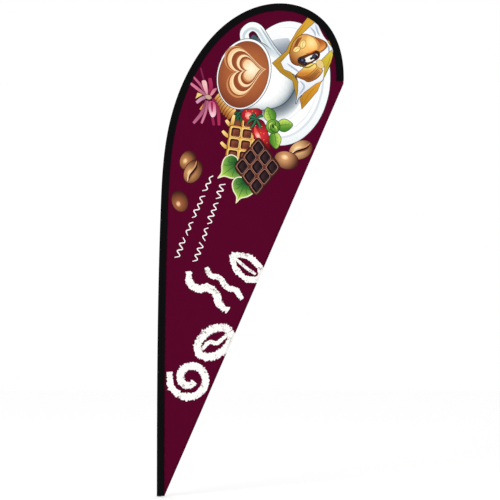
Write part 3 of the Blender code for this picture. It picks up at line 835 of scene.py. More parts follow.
# %% Motifs: the tied biscuits
PINK = (214, 122, 150)
DEEP_PINK = (150, 36, 78)
BOW_DARK = (62, 10, 38)
BISCUITS = 8

bow = around((0.237, 1.950))
inked(bow((-2.5, 1), (-5, 2), (-6, -1)), (232, 200, 120), (70, 30, 20), 0.002)
inked(bow((-1, -2), (-4, -6), (-3, -7), (-0.5, -2.5)), (222, 160, 70), (70, 30, 20), 0.002)
for k in range(BISCUITS):
    disc = (0.284 + 0.0098 * k, 1.944 - 0.0112 * k)
    wide = 0.0375 - 0.0008 * k
    biscuit = around(disc, 52)
    ends = biscuit((wide * 90, 1), (-wide * 90, -1))
    inked(oval(disc, wide, 0.0105, 52, 34), along((244, 194, 114), (150, 84, 36), *ends), (60, 28, 18), 0.0026)
    crack = biscuit((-wide * 60, -0.35), (0, -0.45), (wide * 60, -0.35))
    paint(stroke(crack, 0.0022, 0.8), (206, 140, 66))
for strand, width, tone in (
        (((0, 0), (-1.5, 6.5), (-3.5, 14)), 0.009, (130, 32, 74)),
        (((0, 0), (-3.5, 5.5), (-7, 9.5)), 0.011, (196, 92, 130)),
        (((0, 0), (-4, 3), (-8.5, 6.5)), 0.014, PINK),
        (((0, 0.5), (1.5, 4.5), (1, 9)), 0.020, (168, 44, 84)),
        (((0, 0), (-3, -1), (-5.5, -3)), 0.017, (206, 150, 178)),
        (((-0.5, -2), (-3, -8), (-7, -13)), 0.016, (186, 96, 134)),
        (((0, -2), (-1, -7.5), (-3, -13)), 0.012, PINK),
        (((1.5, -2), (2, -8), (3, -14)), 0.014, DEEP_PINK),
        (((2.5, -1), (5, -6.5), (5.5, -14)), 0.016, (172, 44, 82))):
    ribbon = bow(*strand)
    paint(stroke(ribbon, width + 0.0035, 0.25), BOW_DARK)
    paint(stroke(ribbon, width, 0.25), along(tone, [c * 0.8 for c in tone], ribbon[-1], ribbon[0]))
for loop, light, dark in (
        (((-3, 7), (-1.5, 8), (-0.5, 6.5), (0, 1.5), (-1, 1.5)), (240, 196, 190), (196, 110, 140)),
        (((4.5, 4), (2.5, 3.5), (1, 0.5), (2.5, 1)), (226, 150, 160), (170, 70, 104)),
        (((0.5, -2.5), (0.5, -6.5), (2, -10), (4, -8.5), (3.5, -3)), (246, 208, 214), (190, 80, 120))):
    far = bow(loop[2])[0]
    inked(curve(bow(*loop), per=5), rounded(light, dark, far, 0.075, 1.2), BOW_DARK, 0.0018)
paint(curve(bow((1.5, -3), (2, -7.5), (2.5, -6.5), (2.5, -3)), per=4), DEEP_PINK)
inked(oval((0.2395, 1.948), 0.0165, 0.0105, -20, 22), (196, 160, 140), BOW_DARK, 0.0018)

# %% Motifs: the cup
CUP = (0.413, 2.060)
CUP_LEAN = -15
CHINA_SHADE = (66, 86, 98)
HANDLE_SHADE = (206, 216, 222)

cup = around(CUP)
handle = cup((2, 13.5), (0.5, 17), (0.5, 20.5), (3.5, 23), (7, 22), (10, 17.5), (13.5, 12), (18.5, 6))
ends = handle[0], handle[-1]
paint(stroke(handle, 0.0485), INK)
paint(stroke(handle, 0.0430), along((240, 243, 243), HANDLE_SHADE, *ends))
paint(stroke(handle + [-0.003, -0.010], 0.014, 0.6), along((196, 208, 214), (222, 229, 232), *ends))
paint(stroke(handle[4:] + [0.010, 0.008], 0.009, 0.8), (170, 184, 194))
body = cup((3, 17), (9, 15), (15, 10.5), (21, 6), (24.5, 0), (25, -6), (22.5, -11), (19, -14.5), (14, -16.5),
           (6.5, -17.5), (-2, -16.5))
inked(curve(body), rounded((248, 249, 248), CHINA_SHADE, (0.490, 2.045), 0.182, 7.0), (24, 34, 42))
under_handle = cup((9, 14.5), (13.5, 12), (18, 8.5), (22.5, 5), (18.5, 5), (14.5, 8), (10.5, 10))
paint(curve(under_handle), along((190, 202, 208), (238, 241, 242), (0.55, 2.19), (0.54, 2.12)))
lip_shade = rounded((248, 249, 248), (214, 222, 226), (0.43, 2.12), 0.3, 2.0)
inked(oval(CUP, 0.128, 0.173, CUP_LEAN, 72), lip_shade, (60, 52, 56))
coffee = rounded((176, 102, 58), (126, 62, 40), (0.43, 2.07), 0.170, 2.4)
inked(oval((0.411, 2.058), 0.119, 0.163, CUP_LEAN, 72), coffee, (70, 26, 20), 0.0022)

# %% Motifs: the pattern in the milk foam
FOAM_TIP = (0.522, 2.084)


def foam_heart(size, shift, drop=0.0, lean=5, tall=1.12):
    """A heart whose tip points right. Its tip lies at the foam's tip less a shift."""
    t = np.linspace(0.0, 2 * math.pi, 60, endpoint=False)
    wide = 16 * np.sin(t) ** 3
    long = 13 * np.cos(t) - 5 * np.cos(2 * t) - 2 * np.cos(3 * t) - np.cos(4 * t)
    place = around((FOAM_TIP[0] - shift, FOAM_TIP[1] - drop), lean)
    return place(*np.column_stack([(-long - 17) * size / 32, wide * size / 32 * tall]) * 100)


CREAM = (244, 216, 172)
for size, shift, tone in (
        (0.226, -0.004, (200, 134, 86)), (0.214, -0.001, (150, 80, 46)), (0.204, 0.000, (236, 196, 146)),
        (0.188, 0.003, (246, 220, 172)), (0.176, 0.006, (142, 72, 42)), (0.150, 0.011, (168, 96, 54)),
        (0.140, 0.014, CREAM), (0.122, 0.018, (140, 72, 40)), (0.104, 0.024, (196, 130, 80))):
    paint(foam_heart(size, shift), tone)
paint(foam_heart(0.092, 0.028), rounded((250, 238, 206), (222, 168, 112), (0.450, 2.085), 0.062, 1.8))

# %% Motifs: the pastry in its napkin
OCHRE = (208, 158, 50)
napkin = around((0.711, 2.128))
cloth_edge = napkin((4.5, 18.5), (6, 17.5), (9, 11.5), (13, 6.5), (13.5, 2.5), (12.5, -1), (8.5, -9.5),
                    (4.5, -13.5), (-2.5, -17.5), (-4.5, -21.5), (-3.5, -15), (-4, -8.5), (-7, -6),
                    (-14.5, -1.5), (-7.5, 4), (-6.5, 7), (-4, 11.5), (0, 14))
inked(curve(cloth_edge, per=4), rounded((246, 247, 248), (190, 199, 210), (0.73, 2.15), 0.26, 2.0))
for fold in (((-2.5, -10), (-0.5, -13), (-3, -17)), ((2.5, 16), (4.5, 13.5), (5, 11.5)),
             ((-9, -1.5), (-5.5, -4), (-1.5, -7)), ((9.5, 8.5), (11.5, 6), (11.5, 3.5)),
             ((5, 17), (6, 14), (7, 11.5))):
    paint(stroke(napkin(*fold), 0.009, 0.9), (172, 184, 200))
left_band = ((1.5, 21), (-4, 14), (-7.5, 8), (-9, 4.5), (-16, -1.5), (-12, -6), (-6, -10), (-4, -18.5),
             (-3.5, -10.5), (-7, -6), (-10.5, -4.5), (-12, -1), (-7.5, 4), (-6, 8.5), (-3, 11.5), (4.5, 18.5))
right_band = ((13, 5), (13.5, 2.5), (12.5, -1), (8.5, -10), (9.5, -3.5), (8, 0), (12, 4))
back_band = ((11.5, 9.5), (13.5, 7), (13, 6.5), (11, 9))
low_band = ((8, -10), (6, -15), (0, -22), (-1.5, -24), (-2.5, -18.5), (-0.5, -16), (5.5, -11.5))
for edge, tone in ((left_band, OCHRE), (right_band, (214, 188, 60)), (back_band, (200, 160, 60)),
                   (low_band, (216, 150, 44))):
    band = napkin(*edge)
    inked(band, along(tone, [c * 0.84 for c in tone], band[0], band[len(band) // 2]), (84, 58, 22), 0.0022)
for crease in (((0.5, 18), (-3, 13.5), (-7, 8.5)), ((-8.5, 2.5), (-11.5, 0), (-14, -2)),
               ((-12.5, -4.5), (-9, -6.5), (-5.5, -9)), ((12.5, 2.5), (11.5, -1), (10, -4.5)),
               ((5.5, -12.5), (1.5, -17), (-1, -21.5)), ((-1, -17.5), (-1.5, -19.5), (-1.5, -21.5))):
    paint(stroke(napkin(*crease), 0.0024, 0.9), (150, 106, 34))
slices = napkin((-4.5, -7.5), (-2, -5), (1, -2.5), (4, -1.5), (8, -4.5), (8, -6), (6.5, -8), (4.5, -9.5),
                (1.5, -10.5), (-0.5, -9.5), (-3, -8.5))
inked(curve(slices, per=4), along((226, 168, 84), (150, 86, 38), slices[3], slices[8]))
for rise in (0.0, 1.0, 2.0):
    crust = napkin((-1.5 + rise, -9 - rise / 3), (2.5 + rise / 2, -8 - rise / 2),
                   (5.5 + rise / 2, -5 - rise / 2), (6.5 + rise / 2, -4 - rise))
    paint(stroke(crust, 0.0030, 0.7), (110, 58, 26))
top_slice = napkin((-4, -7), (-1.5, -4.5), (1, -2.5), (4, -1.5), (5.5, -3), (4, -5), (1, -7.5), (-2, -8))
inked(curve(top_slice, per=4), along((196, 120, 44), (244, 214, 120), top_slice[6], top_slice[2]),
      (110, 60, 24), 0.0018)
apple = napkin((5.5, -0.5), (7.5, 0), (9, -2), (8.5, -4), (6.5, -3.5), (5.5, -2))
inked(curve(apple, per=4), (224, 196, 130), (110, 70, 34), 0.0016)
bun = napkin((-7, 5.5), (-5.5, 9), (-3, 11.5), (0, 12.5), (3.5, 11.5), (9.5, 9), (10.5, 6.5), (7, 3.5),
             (1.5, 1.5), (-1.5, 0), (-2, -2), (-4, -2.5), (-6.5, -1), (-7.5, 2.5))
inked(curve(bun, per=5), rounded((244, 192, 108), (136, 72, 30), (0.715, 2.195), 0.098, 1.8), (70, 34, 18))
bun_side = napkin((4.5, 11), (7, 10), (9.5, 8.5), (10, 6.5), (8.5, 5), (6.5, 4.5), (7.5, 6.5), (6.5, 9))
paint(curve(bun_side, per=4), along((164, 76, 30), (226, 150, 76), bun_side[1], bun_side[4]))
bun_top = napkin((1, 11.5), (4, 10.5), (6, 7), (5, 4.5), (1.5, 4.5), (0.5, 8))
paint(curve(bun_top, per=5), rounded((252, 222, 152), (238, 176, 90), napkin((3, 8.5))[0], 0.040, 1.6))
bun_dark = napkin((-5, 8), (-3.5, 10.5), (-1.5, 11), (-3, 8.5), (-4.5, 5.5), (-6.5, 4.5))
paint(curve(bun_dark, per=4), rounded((126, 66, 36), (190, 116, 56), napkin((-4, 8.5))[0], 0.04, 1.6))
opening = napkin((-3.5, 0.5), (-1, 2), (2, 3), (5, 4.5), (7, 3.5), (6.5, 1), (3.5, -1), (0.5, -2.5),
                 (-2.5, -3))
filling = rounded((92, 54, 30), (60, 30, 20), napkin((1.5, 0.5))[0], 0.05)
inked(curve(opening, per=4), filling, (60, 30, 16), 0.0018)
cream = napkin((-1.5, -0.5), (1, 1.5), (5, 3), (6, 2), (4, 0), (1.5, -1))
paint(curve(cream, per=4), (238, 234, 226))
paint(stroke(napkin((0, 3), (2.5, 3.5), (5.5, 5)), 0.006, 0.8), (206, 92, 40))
paint(stroke(napkin((-3.5, -1.5), (-1.5, -3), (1.5, -3.5), (5, -1.5)), 0.007, 0.8), (120, 110, 60))
for x, z, turn, long in ((0.70, 2.205, 70, 0.021), (0.67, 2.18, 30, 0.019)):
    nut = oval((x, z), long, long * 0.62, turn, 28)
    inked(nut, rounded((250, 230, 160), (222, 180, 96), (x, z), long), (130, 84, 34), 0.0018)
    paint(stroke(around((x, z), turn)((-1.5, -0.3), (0, 0.2), (1.5, 0)), 0.0026, 0.9), (188, 140, 70))
for x, z, r in ((0.70, 2.125, 0.0125), (0.757, 2.145, 0.0125), (0.683, 2.132, 0.007), (0.741, 2.136, 0.006),
                (0.712, 2.112, 0.007)):
    fruit = oval((x, z), r, r * 0.86, 20, 20)
    inked(fruit, rounded((86, 94, 132), (16, 16, 30), (x - 0.003, z + 0.003), r, 1.2), (12, 10, 16), 0.0015)

# %% Motifs: waffles, leaves, berries, mint and beans
GOLDEN = (0.424, 1.742)
golden = around(GOLDEN, -8)
paint(golden((-7.5, 5), (-7.5, 9.5), (-3, 9.5), (-3, 5)), (122, 66, 44))
for start, end in (((-7.5, 5.5), (-11, 8)), ((-7.5, 0), (-12, 2.5)), ((-7.5, -5.5), (-12, -3)),
                   ((-8, 5), (-7.5, 11)), ((-2.5, 5), (-2.5, 10.5))):
    ridge_end = golden(start, ((start[0] + end[0]) / 2, (start[1] + end[1]) / 2 - 0.5), end)
    paint(stroke(ridge_end, 0.024, 0.3), (60, 24, 16))
    paint(stroke(ridge_end, 0.017, 0.3), along((206, 146, 64), (248, 214, 140), ridge_end[0], ridge_end[2]))
waffle(GOLDEN, -8, 0.055, ((0, 1, 0), (1, 1, 1), (1, 1, 1), (1, 1, 0)), ((240, 196, 106), (188, 128, 52)),
       (252, 222, 144), ((70, 30, 26), (134, 74, 48), (88, 40, 34)), 0.405)
heart_leaf((0.35, 1.60), 0.132, 216)
heart_leaf((0.405, 1.50), 0.124, 246)


def leafy_cap(centre, tips, width, tone):
    """The small green leaves at the top of a berry."""
    place = around(centre)
    for bend, tip in tips:
        paint(stroke(place((0, 0), bend, tip), width * 1.75, 0.95), (12, 32, 26))
        paint(stroke(place((0, 0), bend, tip), width, 0.95), tone)


leafy_cap((0.400, 1.878), (((-1.5, -3), (-3, -4.5)), ((0, -3.5), (-1, -5.5)), ((-2, -0.5), (-3.5, -1)),
                           ((-1.5, -1), (-2.5, -3))), 0.009, (40, 92, 62))
berry((0.445, 1.860), ((-4.5, 0.5), (-3, 2.5), (0, 3), (4, 3), (5.5, 1), (2.5, -1.5), (-1, -4), (-3.5, -2)),
      ((-2.5, 1), (-0.5, 1.5), (0.5, 0), (-0.5, -2), (-2, -1.5)),
      ((-2, 2), (1, 2), (2.5, 1), (1.5, -0.5), (-2.5, -0.5), (0, -2.5), (-1, 0)))
berry((0.495, 1.765),
      ((-3.5, 6.5), (-1, 7.5), (1.5, 6), (3, 2), (4.5, -3.5), (4, -7.5), (2, -8.5), (-0.5, -6), (-3, -1.5),
       (-4.5, 3)),
      ((-3, 4), (-2, 2.5), (0, -1.5), (1, -5), (-0.5, -3.5), (-3, 0.5)),
      ((-1.5, 5.5), (0.5, 4), (0, 1), (1.5, 0.5), (1.5, -2.5), (3, -4), (2, -6), (-2.5, 4.5), (-1.5, -0.5),
       (0.5, -3.5)))
leafy_cap((0.472, 1.842),
          (((-2.5, -0.5), (-4.5, -2.5)), ((-1, -2.5), (-3, -5)), ((1.5, -2.5), (2, -5)),
           ((2, 1.5), (3.5, 1)), ((-1, 2), (-2, 3)), ((-2, 1), (-3.5, 0.5))), 0.0095, (52, 110, 74))
MINT = (0.555, 1.805)
mint_leaf((0.54, 1.86), 0.078, 0.056, 112)
mint_leaf((0.61, 1.81), 0.080, 0.060, 4)
mint_leaf((0.565, 1.74), 0.086, 0.056, -82)
mint_heart = rounded((150, 196, 84), (70, 124, 40), (0.547, 1.812), 0.036)
inked(oval(MINT, 0.033, 0.033, 0, 30), mint_heart, (28, 60, 24))
mint_leaf((0.55, 1.81), 0.046, 0.034, 60)
mint_leaf((0.56, 1.795), 0.042, 0.030, -40)
paint(oval(MINT, 0.006, 0.008, 20, 14), (34, 74, 30))
bean((0.69, 1.69), 0.118, 0.086, 27, True, ((238, 196, 140), (104, 56, 34)))
bean((0.62, 1.64), 0.118, 0.084, -17)
waffle((0.478, 1.608), 50, 0.0590, ((1, 1, 1), (1, 1, 1), (1, 1, 1)),
       ((124, 74, 58), (66, 32, 28)), (170, 122, 104), ((24, 12, 14), (58, 40, 44), (30, 18, 24)), 0.42,
       skew=-0.24, squat=0.96)
bean((0.14, 1.64), 0.096, 0.074, 62, tones=((196, 138, 84), (60, 26, 20)))
bean((0.165, 1.585), 0.118, 0.080, 62, True, ((206, 152, 98), (64, 30, 20)))
bean((0.10, 1.44), 0.104, 0.076, 108, tones=((164, 100, 62), (60, 28, 20)))

# %% [markdown]
# ## Chalk marks
# The lower part carries loose chalk marks, drawn large and cut off by the straight edge: a
# swirl, a bean, two wisps of steam and a leaf, and beside the beans two fine wavy lines.
# None of them is writing. A chalk mark is a stroke whose edge is ragged.

# %% Chalk marks
CHALK = (250, 248, 244)


CHALK_WIDTH = 0.037
RAGGED = 0.075


def chalk_mark(points, width=CHALK_WIDTH, seed=0, taper=0.25, closed=False):
    """A broad chalk stroke with a ragged edge."""
    paint(stroke(points, width, taper, width * RAGGED, seed, closed, 14), CHALK, BROAD_CHALK)


SWIRL = (0.150, 0.575)
SWIRL_REACH = 0.112
turns = np.linspace(0.1, 1.55, 13)
swirl = [(SWIRL[0] + SWIRL_REACH * (1 - 0.50 * t) * math.cos(2 * math.pi * t + 2.2),
          SWIRL[1] + SWIRL_REACH * (1 - 0.50 * t) * math.sin(2 * math.pi * t + 2.2)) for t in turns]
chalk_mark(swirl, seed=1)
chalk_mark(oval((0.268, 0.752), 0.092, 0.060, 35, 13), seed=2, taper=0.0, closed=True)
chalk_mark([(0.206, 0.716), (0.244, 0.752), (0.282, 0.748), (0.330, 0.790)], width=0.020, seed=3)
chalk_mark([(0.142, 1.098), (0.150, 1.040), (0.196, 1.012), (0.236, 1.020), (0.278, 0.984), (0.290, 0.940),
            (0.336, 0.905)], seed=4)
chalk_mark([(0.230, 1.118), (0.248, 1.080), (0.296, 1.064), (0.330, 1.020), (0.372, 1.006), (0.404, 0.962)],
           width=0.028, seed=5)
chalk_mark([(0.352, 1.180), (0.372, 1.110), (0.428, 1.060), (0.492, 1.066), (0.486, 1.122), (0.430, 1.170),
            (0.352, 1.180)], width=0.030, seed=6)
chalk_mark([(0.366, 1.166), (0.420, 1.118), (0.470, 1.084)], width=0.015, seed=7)

WAVES = 25
WAVE_HEIGHT = 0.011
WAVE_RUNS = ((0, 6), (7, 11), (12, 19), (20, 25))
for start, end, seed in (((0.082, 1.163), (0.257, 1.567), 8), ((0.174, 1.143), (0.311, 1.528), 9)):
    start, run = np.array(start), np.subtract(end, start)
    side = np.array([-run[1], run[0]]) / np.linalg.norm(run)
    chance = np.random.default_rng(seed)
    swing = [start + run * k / WAVES + side * WAVE_HEIGHT * (-1) ** k * chance.uniform(0.5, 1.2)
             for k in range(WAVES + 1)]
    for first, last in WAVE_RUNS:
        paint(stroke(swing[first:last + 1], 0.0052, 0.2, 0.0003, seed, False, 7), CHALK, FINE_CHALK)
print("outlines drawn:", len(layers))

# %% [markdown]
# ## The printed panel
# All outlines are laid into one flat triangulation, so that every colour edge is an edge of
# the mesh and stays sharp from close by. A grid of extra points keeps the triangles even.
# The topmost outline over a triangle gives the colour of its corners. The flat mesh is then
# carried onto the blown shape, and closed with a second side and a rim.

# %% The printed panel
PANEL_HALF = 0.00028
ART_GRID = 0.0085
PLAIN_GRID = 0.018
ART_FROM = 1.36
GRID_WIDTH = 0.93
GRID_TOP = 2.45
ROW_STEP = 0.87
TRAIL_POINTS = 260
SEAM_POINTS = 520
POINT_MERGE = 0.000001
PUCKER = 0.0011
PUCKER_WIDTH = 0.012
LONG_GATHER = 42.0
SHORT_GATHER = 110.0
DYE_STRENGTH = 0.96


def inside(outline, points):
    """Which points an outline goes round, however often it crosses itself."""
    low, high = outline.min(axis=0), outline.max(axis=0)
    near = np.flatnonzero(((points >= low) & (points <= high)).all(axis=1))
    hit = np.zeros(len(points), dtype=bool)
    if not len(near):
        return hit
    x, z = points[near].T
    turns = np.zeros(len(near), dtype=int)
    for (ax, az), (bx, bz) in zip(outline, np.roll(outline, -1, axis=0)):
        left = (bx - ax) * (z - az) - (x - ax) * (bz - az)
        turns += ((az <= z) & (bz > z) & (left > 0)).astype(int)
        turns -= ((az > z) & (bz <= z) & (left < 0)).astype(int)
    hit[near] = turns != 0
    return hit


def panel_outline():
    trail = spread(np.array([TIP_CORNER, LOW_CORNER]), TRAIL_POINTS)
    seam = spread(SEAM, SEAM_POINTS)
    return np.vstack([seam, trail])


def grid_points(outline, step, low, high):
    """Loose points inside the panel, a little off an even grid."""
    chance = np.random.default_rng(5)
    x, z = np.meshgrid(np.arange(0.0, GRID_WIDTH, step), np.arange(low, high, step * ROW_STEP))
    x = x + step / 2 * (np.arange(len(x)) % 2)[:, None]
    spots = np.column_stack([x.ravel(), z.ravel()])
    spots += chance.uniform(-0.1, 0.1, spots.shape) * step
    return spots[inside(grown(outline, -step * 0.5), spots)]


def triangulated():
    """The panel's flat points and triangles, and the outline each triangle shows."""
    outline = panel_outline()
    shapes = [outline] + [shape for shape, _, _ in layers]
    spots = np.vstack([grid_points(outline, PLAIN_GRID, 0.0, ART_FROM),
                       grid_points(outline, ART_GRID, ART_FROM, GRID_TOP)])
    edges = []
    start = 0
    for shape in shapes:
        ring = [start + k for k in range(len(shape))]
        edges += list(zip(ring, ring[1:] + ring[:1]))
        start += len(shape)
    points = [Vector(p) for p in np.vstack([*shapes, spots])]
    flat_points, _, faces, _, _, _ = delaunay_2d_cdt(points, edges, [], 0, POINT_MERGE, False)
    flat_points = np.array([tuple(p) for p in flat_points])
    faces = np.array(faces)
    middles = flat_points[faces].mean(axis=1)
    within = inside(outline, middles)
    faces, middles = faces[within], middles[within]
    top = np.zeros(len(faces), dtype=int)
    for number, shape in enumerate(shapes[1:], start=1):
        top[inside(shape, middles)] = number
    return flat_points, faces, top


print_points, print_faces, print_top = triangulated()
used = np.unique(print_faces)
lookup = np.full(len(print_points), -1)
lookup[used] = np.arange(len(used))
print_points, print_faces = print_points[used], lookup[print_faces]
turned = np.cross(print_points[print_faces[:, 1]] - print_points[print_faces[:, 0]],
                  print_points[print_faces[:, 2]] - print_points[print_faces[:, 0]]) < 0
print_faces[turned] = print_faces[turned][:, ::-1]
print("print mesh:", len(print_points), "points,", len(print_faces), "triangles")

# %% Carrying the print onto the blown shape
def to_seam(x, z):
    """How far a flat point lies from the sewn edge, and where along it."""
    _, index, distance = seam_tree.find((x, z, 0.0))
    return distance, seam_runs[index]


fine_seam = spread(SEAM, 1600)
seam_runs = np.linspace(0.0, PATH_LENGTH, len(fine_seam))
seam_tree = KDTree(len(fine_seam))
for k, (x, z) in enumerate(fine_seam):
    seam_tree.insert((x, z, 0.0), k)
seam_tree.balance()


def on_cloth(x, z, lift=0.0):
    """A flat point carried onto the blown cloth, with the small gathers along the seam."""
    point = wind.carry(float(x), float(z))
    distance, run = to_seam(x, z)
    past = max(0.0, distance - TUCK) / PUCKER_WIDTH
    gather = noise.noise((run * LONG_GATHER, 0.0, 3.0)) + 0.4 * noise.noise((run * SHORT_GATHER, 0.0, 8.0))
    point.y += PUCKER * gather * past * math.exp(1.0 - past) + lift
    return point


def dyed_panel():
    carried = np.array([tuple(on_cloth(x, z)) for x, z in print_points])
    count = len(carried)
    front = carried - [0.0, PANEL_HALF, 0.0]
    back = carried + [0.0, PANEL_HALF, 0.0]
    edges = {}
    for a, b, c in print_faces:
        for pair in ((a, b), (b, c), (c, a)):
            edges[pair] = True
    rim = [(a, b) for a, b in edges if (b, a) not in edges]
    # Facing -Y a triangle's corners run anticlockwise in x and z.
    faces = [tuple(f) for f in print_faces]
    faces += [(c + count, b + count, a + count) for a, b, c in print_faces]
    faces += [(b, a, a + count, b + count) for a, b in rim]
    mesh = bpy.data.meshes.new("printed_cloth")
    mesh.from_pydata(np.vstack([front, back]).tolist(), [], faces)
    mesh.materials.append(print_cloth)
    piece = bpy.data.objects.new("printed_cloth", mesh)
    collection.objects.link(piece)
    return piece, rim


def corner_colours(rim):
    """The dye at every face corner: front, back and rim in the order of the faces."""
    corners = print_points[print_faces]
    colour = np.tile(np.asarray(GROUND, dtype=float), (len(print_faces), 3, 1))
    chalk = np.ones((len(print_faces), 3))
    for number, (_, shade, dry) in enumerate(layers, start=1):
        shown = print_top == number
        if not shown.any():
            continue
        spots = corners[shown].reshape(-1, 2)
        colour[shown] = shade(spots[:, 0], spots[:, 1]).reshape(-1, 3, 3)
        chalk[shown] = dry
    front = np.dstack([linear(np.clip(colour, 0, 255)) * DYE_STRENGTH, chalk])
    back = front[:, ::-1]
    by_point = {}
    for face, values in zip(print_faces, front):
        for point, value in zip(face, values):
            by_point[int(point)] = value
    sides = np.array([[by_point[b], by_point[a], by_point[a], by_point[b]] for a, b in rim])
    return np.vstack([front.reshape(-1, 4), back.reshape(-1, 4), sides.reshape(-1, 4)])


panel, panel_rim = dyed_panel()
dye = panel.data.color_attributes.new("dye", "FLOAT_COLOR", "CORNER")
dye.data.foreach_set("color", corner_colours(panel_rim).astype(np.float32).ravel())
panel.data.shade_smooth()
panel.data.validate()

# %% The panel's own map
MAP_EDGE = 0.01
MAP_ROOM = 1.03
MAP_LEAST = 1.40


def cloth_map(piece):
    """Lays the lower and the upper half of the flat cloth side by side in the unit square."""
    flat_place = np.vstack([print_points, print_points])
    middle = float(print_points[:, 1].max()) / 2
    size = MAP_ROOM * max(middle, MAP_LEAST)
    mesh = piece.data
    layer = mesh.uv_layers.new(name="OFBake")
    spots = np.empty((len(mesh.loops), 2), dtype=np.float32)
    for face in mesh.polygons:
        rows = flat_place[[mesh.loops[k].vertex_index for k in face.loop_indices]]
        upper = rows[:, 1].mean() > middle
        for k, (x, z) in zip(face.loop_indices, rows):
            if upper:
                spots[k] = (MAP_EDGE + x / size, MAP_EDGE + (z - middle) / size)
            else:
                spots[k] = (1 - MAP_EDGE - x / size, MAP_EDGE + z / size)
    layer.data.foreach_set("uv", spots.ravel())


cloth_map(panel)
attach(panel, "flag")
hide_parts("printed_panel")
print("panel triangles", 2 * len(print_faces) + 2 * len(panel_rim))

# %% [markdown]
# ## The sleeve
# The sleeve is a long strip of woven cloth folded round the pole. Its two edges are the
# lips that hold the panel. Its section is round at the pole and flat at the web, and the
# cloth is pulled into small folds where the pole bends, into a ridge over every ferrule,
# and into gathers along the seam.

# %% The sleeve
LIP = 0.0016
LIP_LENGTH = 0.004
SLEEVE_CLOTH = 0.0007
ROUND_POINTS = 22
WEB_POINTS = 4
SLEEVE_ROWS = 900
SEAM_GATHER = 0.00035
SEAM_SPREAD = 0.007
BEND_FOLD = 0.0011
SLOW_SAG = 0.00035
FERRULE_RIDGE = 0.0005
FERRULE_SPREAD = 0.012
STEEPEST_BEND = 12.0


def section(s, extra=0.0):
    """The sleeve's outer line across the pole, as (towards the panel, y) pairs."""
    radius = float(sleeve_radius(s))
    reach = float(lip_reach(s))
    neck = reach - LIP_LENGTH
    far = math.hypot(neck, LIP)
    lean = math.atan2(LIP, neck) + math.acos(radius / far)
    arc = [(radius * math.cos(a), radius * math.sin(a))
           for a in np.linspace(-lean, lean - 2 * math.pi, ROUND_POINTS)]
    start, end = (neck, -LIP), (neck, LIP)
    share = np.linspace(0, 1, WEB_POINTS, endpoint=False)[1:]
    first = [(start[0] + (arc[0][0] - start[0]) * t, start[1] + (arc[0][1] - start[1]) * t) for t in share]
    last = [(arc[-1][0] + (end[0] - arc[-1][0]) * t, arc[-1][1] + (end[1] - arc[-1][1]) * t) for t in share]
    line = [(reach, -LIP), (reach - LIP_LENGTH / 2, -LIP), start, *first, *arc, *last, end,
            (reach - LIP_LENGTH / 2, LIP), (reach, LIP)]
    line = np.array(line)
    if extra:
        ahead = np.gradient(line, axis=0)
        out = np.column_stack([ahead[:, 1], -ahead[:, 0]])
        line = line + out / np.hypot(*out.T)[:, None] * extra
    return line


def cloth_relief(s, place):
    """How far the sleeve's cloth stands proud at a distance along and a place round it."""
    towards, y = place
    neck = float(lip_reach(s)) - LIP_LENGTH
    seam = math.exp(-((neck - towards) / SEAM_SPREAD) ** 2) if towards < neck else 0.3
    side = 1.0 if y < 0 else -1.0
    gather = 0.5 + 0.5 * noise.noise((s * 55.0, side, 1.0))
    bend = float(np.interp(s / PATH_LENGTH, BEND_SHARES, BEND_RATES)) / STEEPEST_BEND
    fold = max(0.0, noise.noise((s * 34.0 + side * towards * 60.0, side * 3.0, 5.0)))
    slow = 0.5 + 0.5 * noise.noise((s * 9.0, side * 2.0, towards * 40.0))
    ferrule = sum(math.exp(-((s - at) / FERRULE_SPREAD) ** 2) for at in JOINTS)
    return SEAM_GATHER * seam * gather + BEND_FOLD * bend * fold + SLOW_SAG * slow + FERRULE_RIDGE * ferrule


def sewn_tube(name, start, end, rows, material, extra=0.0, relief=True, thickness=SLEEVE_CLOTH):
    """A closed strip of cloth folded round the pole: outer side, inner side and cut ends."""
    loops = []
    for s in np.linspace(start, end, rows):
        middle, _, inward = (row[0] for row in along_pole(np.array([s])))
        outer = section(s, extra)
        ahead = np.gradient(outer, axis=0)
        out = np.column_stack([ahead[:, 1], -ahead[:, 0]])
        out /= np.hypot(*out.T)[:, None]
        inner = outer - out * thickness
        proud = [cloth_relief(s, place) if relief else 0.0 for place in outer]
        proud[0] = proud[-1] = 0.0
        outer = outer + out * np.array(proud)[:, None]
        ring = np.vstack([outer, inner[::-1]])
        loops.append([(middle[0] + inward[0] * p, y, middle[1] + inward[1] * p) for p, y in ring])
    count = len(loops[0])
    points = [p for loop in loops for p in loop]
    faces = grid_faces(rows, count, closed=True)
    half = count // 2
    for base, flip in ((0, False), ((rows - 1) * count, True)):
        for k in range(half - 1):
            quad = (base + k, base + k + 1, base + count - 2 - k, base + count - 1 - k)
            faces.append(quad[::-1] if flip else quad)
    piece = new_piece(name, points, faces, material)
    outward(piece)
    piece.data.shade_smooth()
    return piece


def outward(piece):
    """Turns the faces of a closed piece outwards."""
    made = bmesh.new()
    made.from_mesh(piece.data)
    bmesh.ops.recalc_face_normals(made, faces=made.faces)
    if made.calc_volume(signed=True) < 0:
        bmesh.ops.reverse_faces(made, faces=made.faces)
    made.to_mesh(piece.data)
    made.free()


sleeve = sewn_tube("sleeve_cloth", MOUTH, PATH_LENGTH, SLEEVE_ROWS, oxford)
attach(sleeve, "flag")
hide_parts("pole_sleeve")
BAND = 0.012
BAND_UNDER = 0.0006
BAND_PROUD = 0.0012
BAND_CLOTH = 0.0008
binding = sewn_tube("mouth_band", MOUTH - BAND_UNDER, MOUTH + BAND, 24, webbing, BAND_PROUD, False, BAND_CLOTH)
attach(binding, "flag")
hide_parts("mouth_binding")
print("sleeve faces", len(sleeve.data.polygons), "band faces", len(binding.data.polygons))

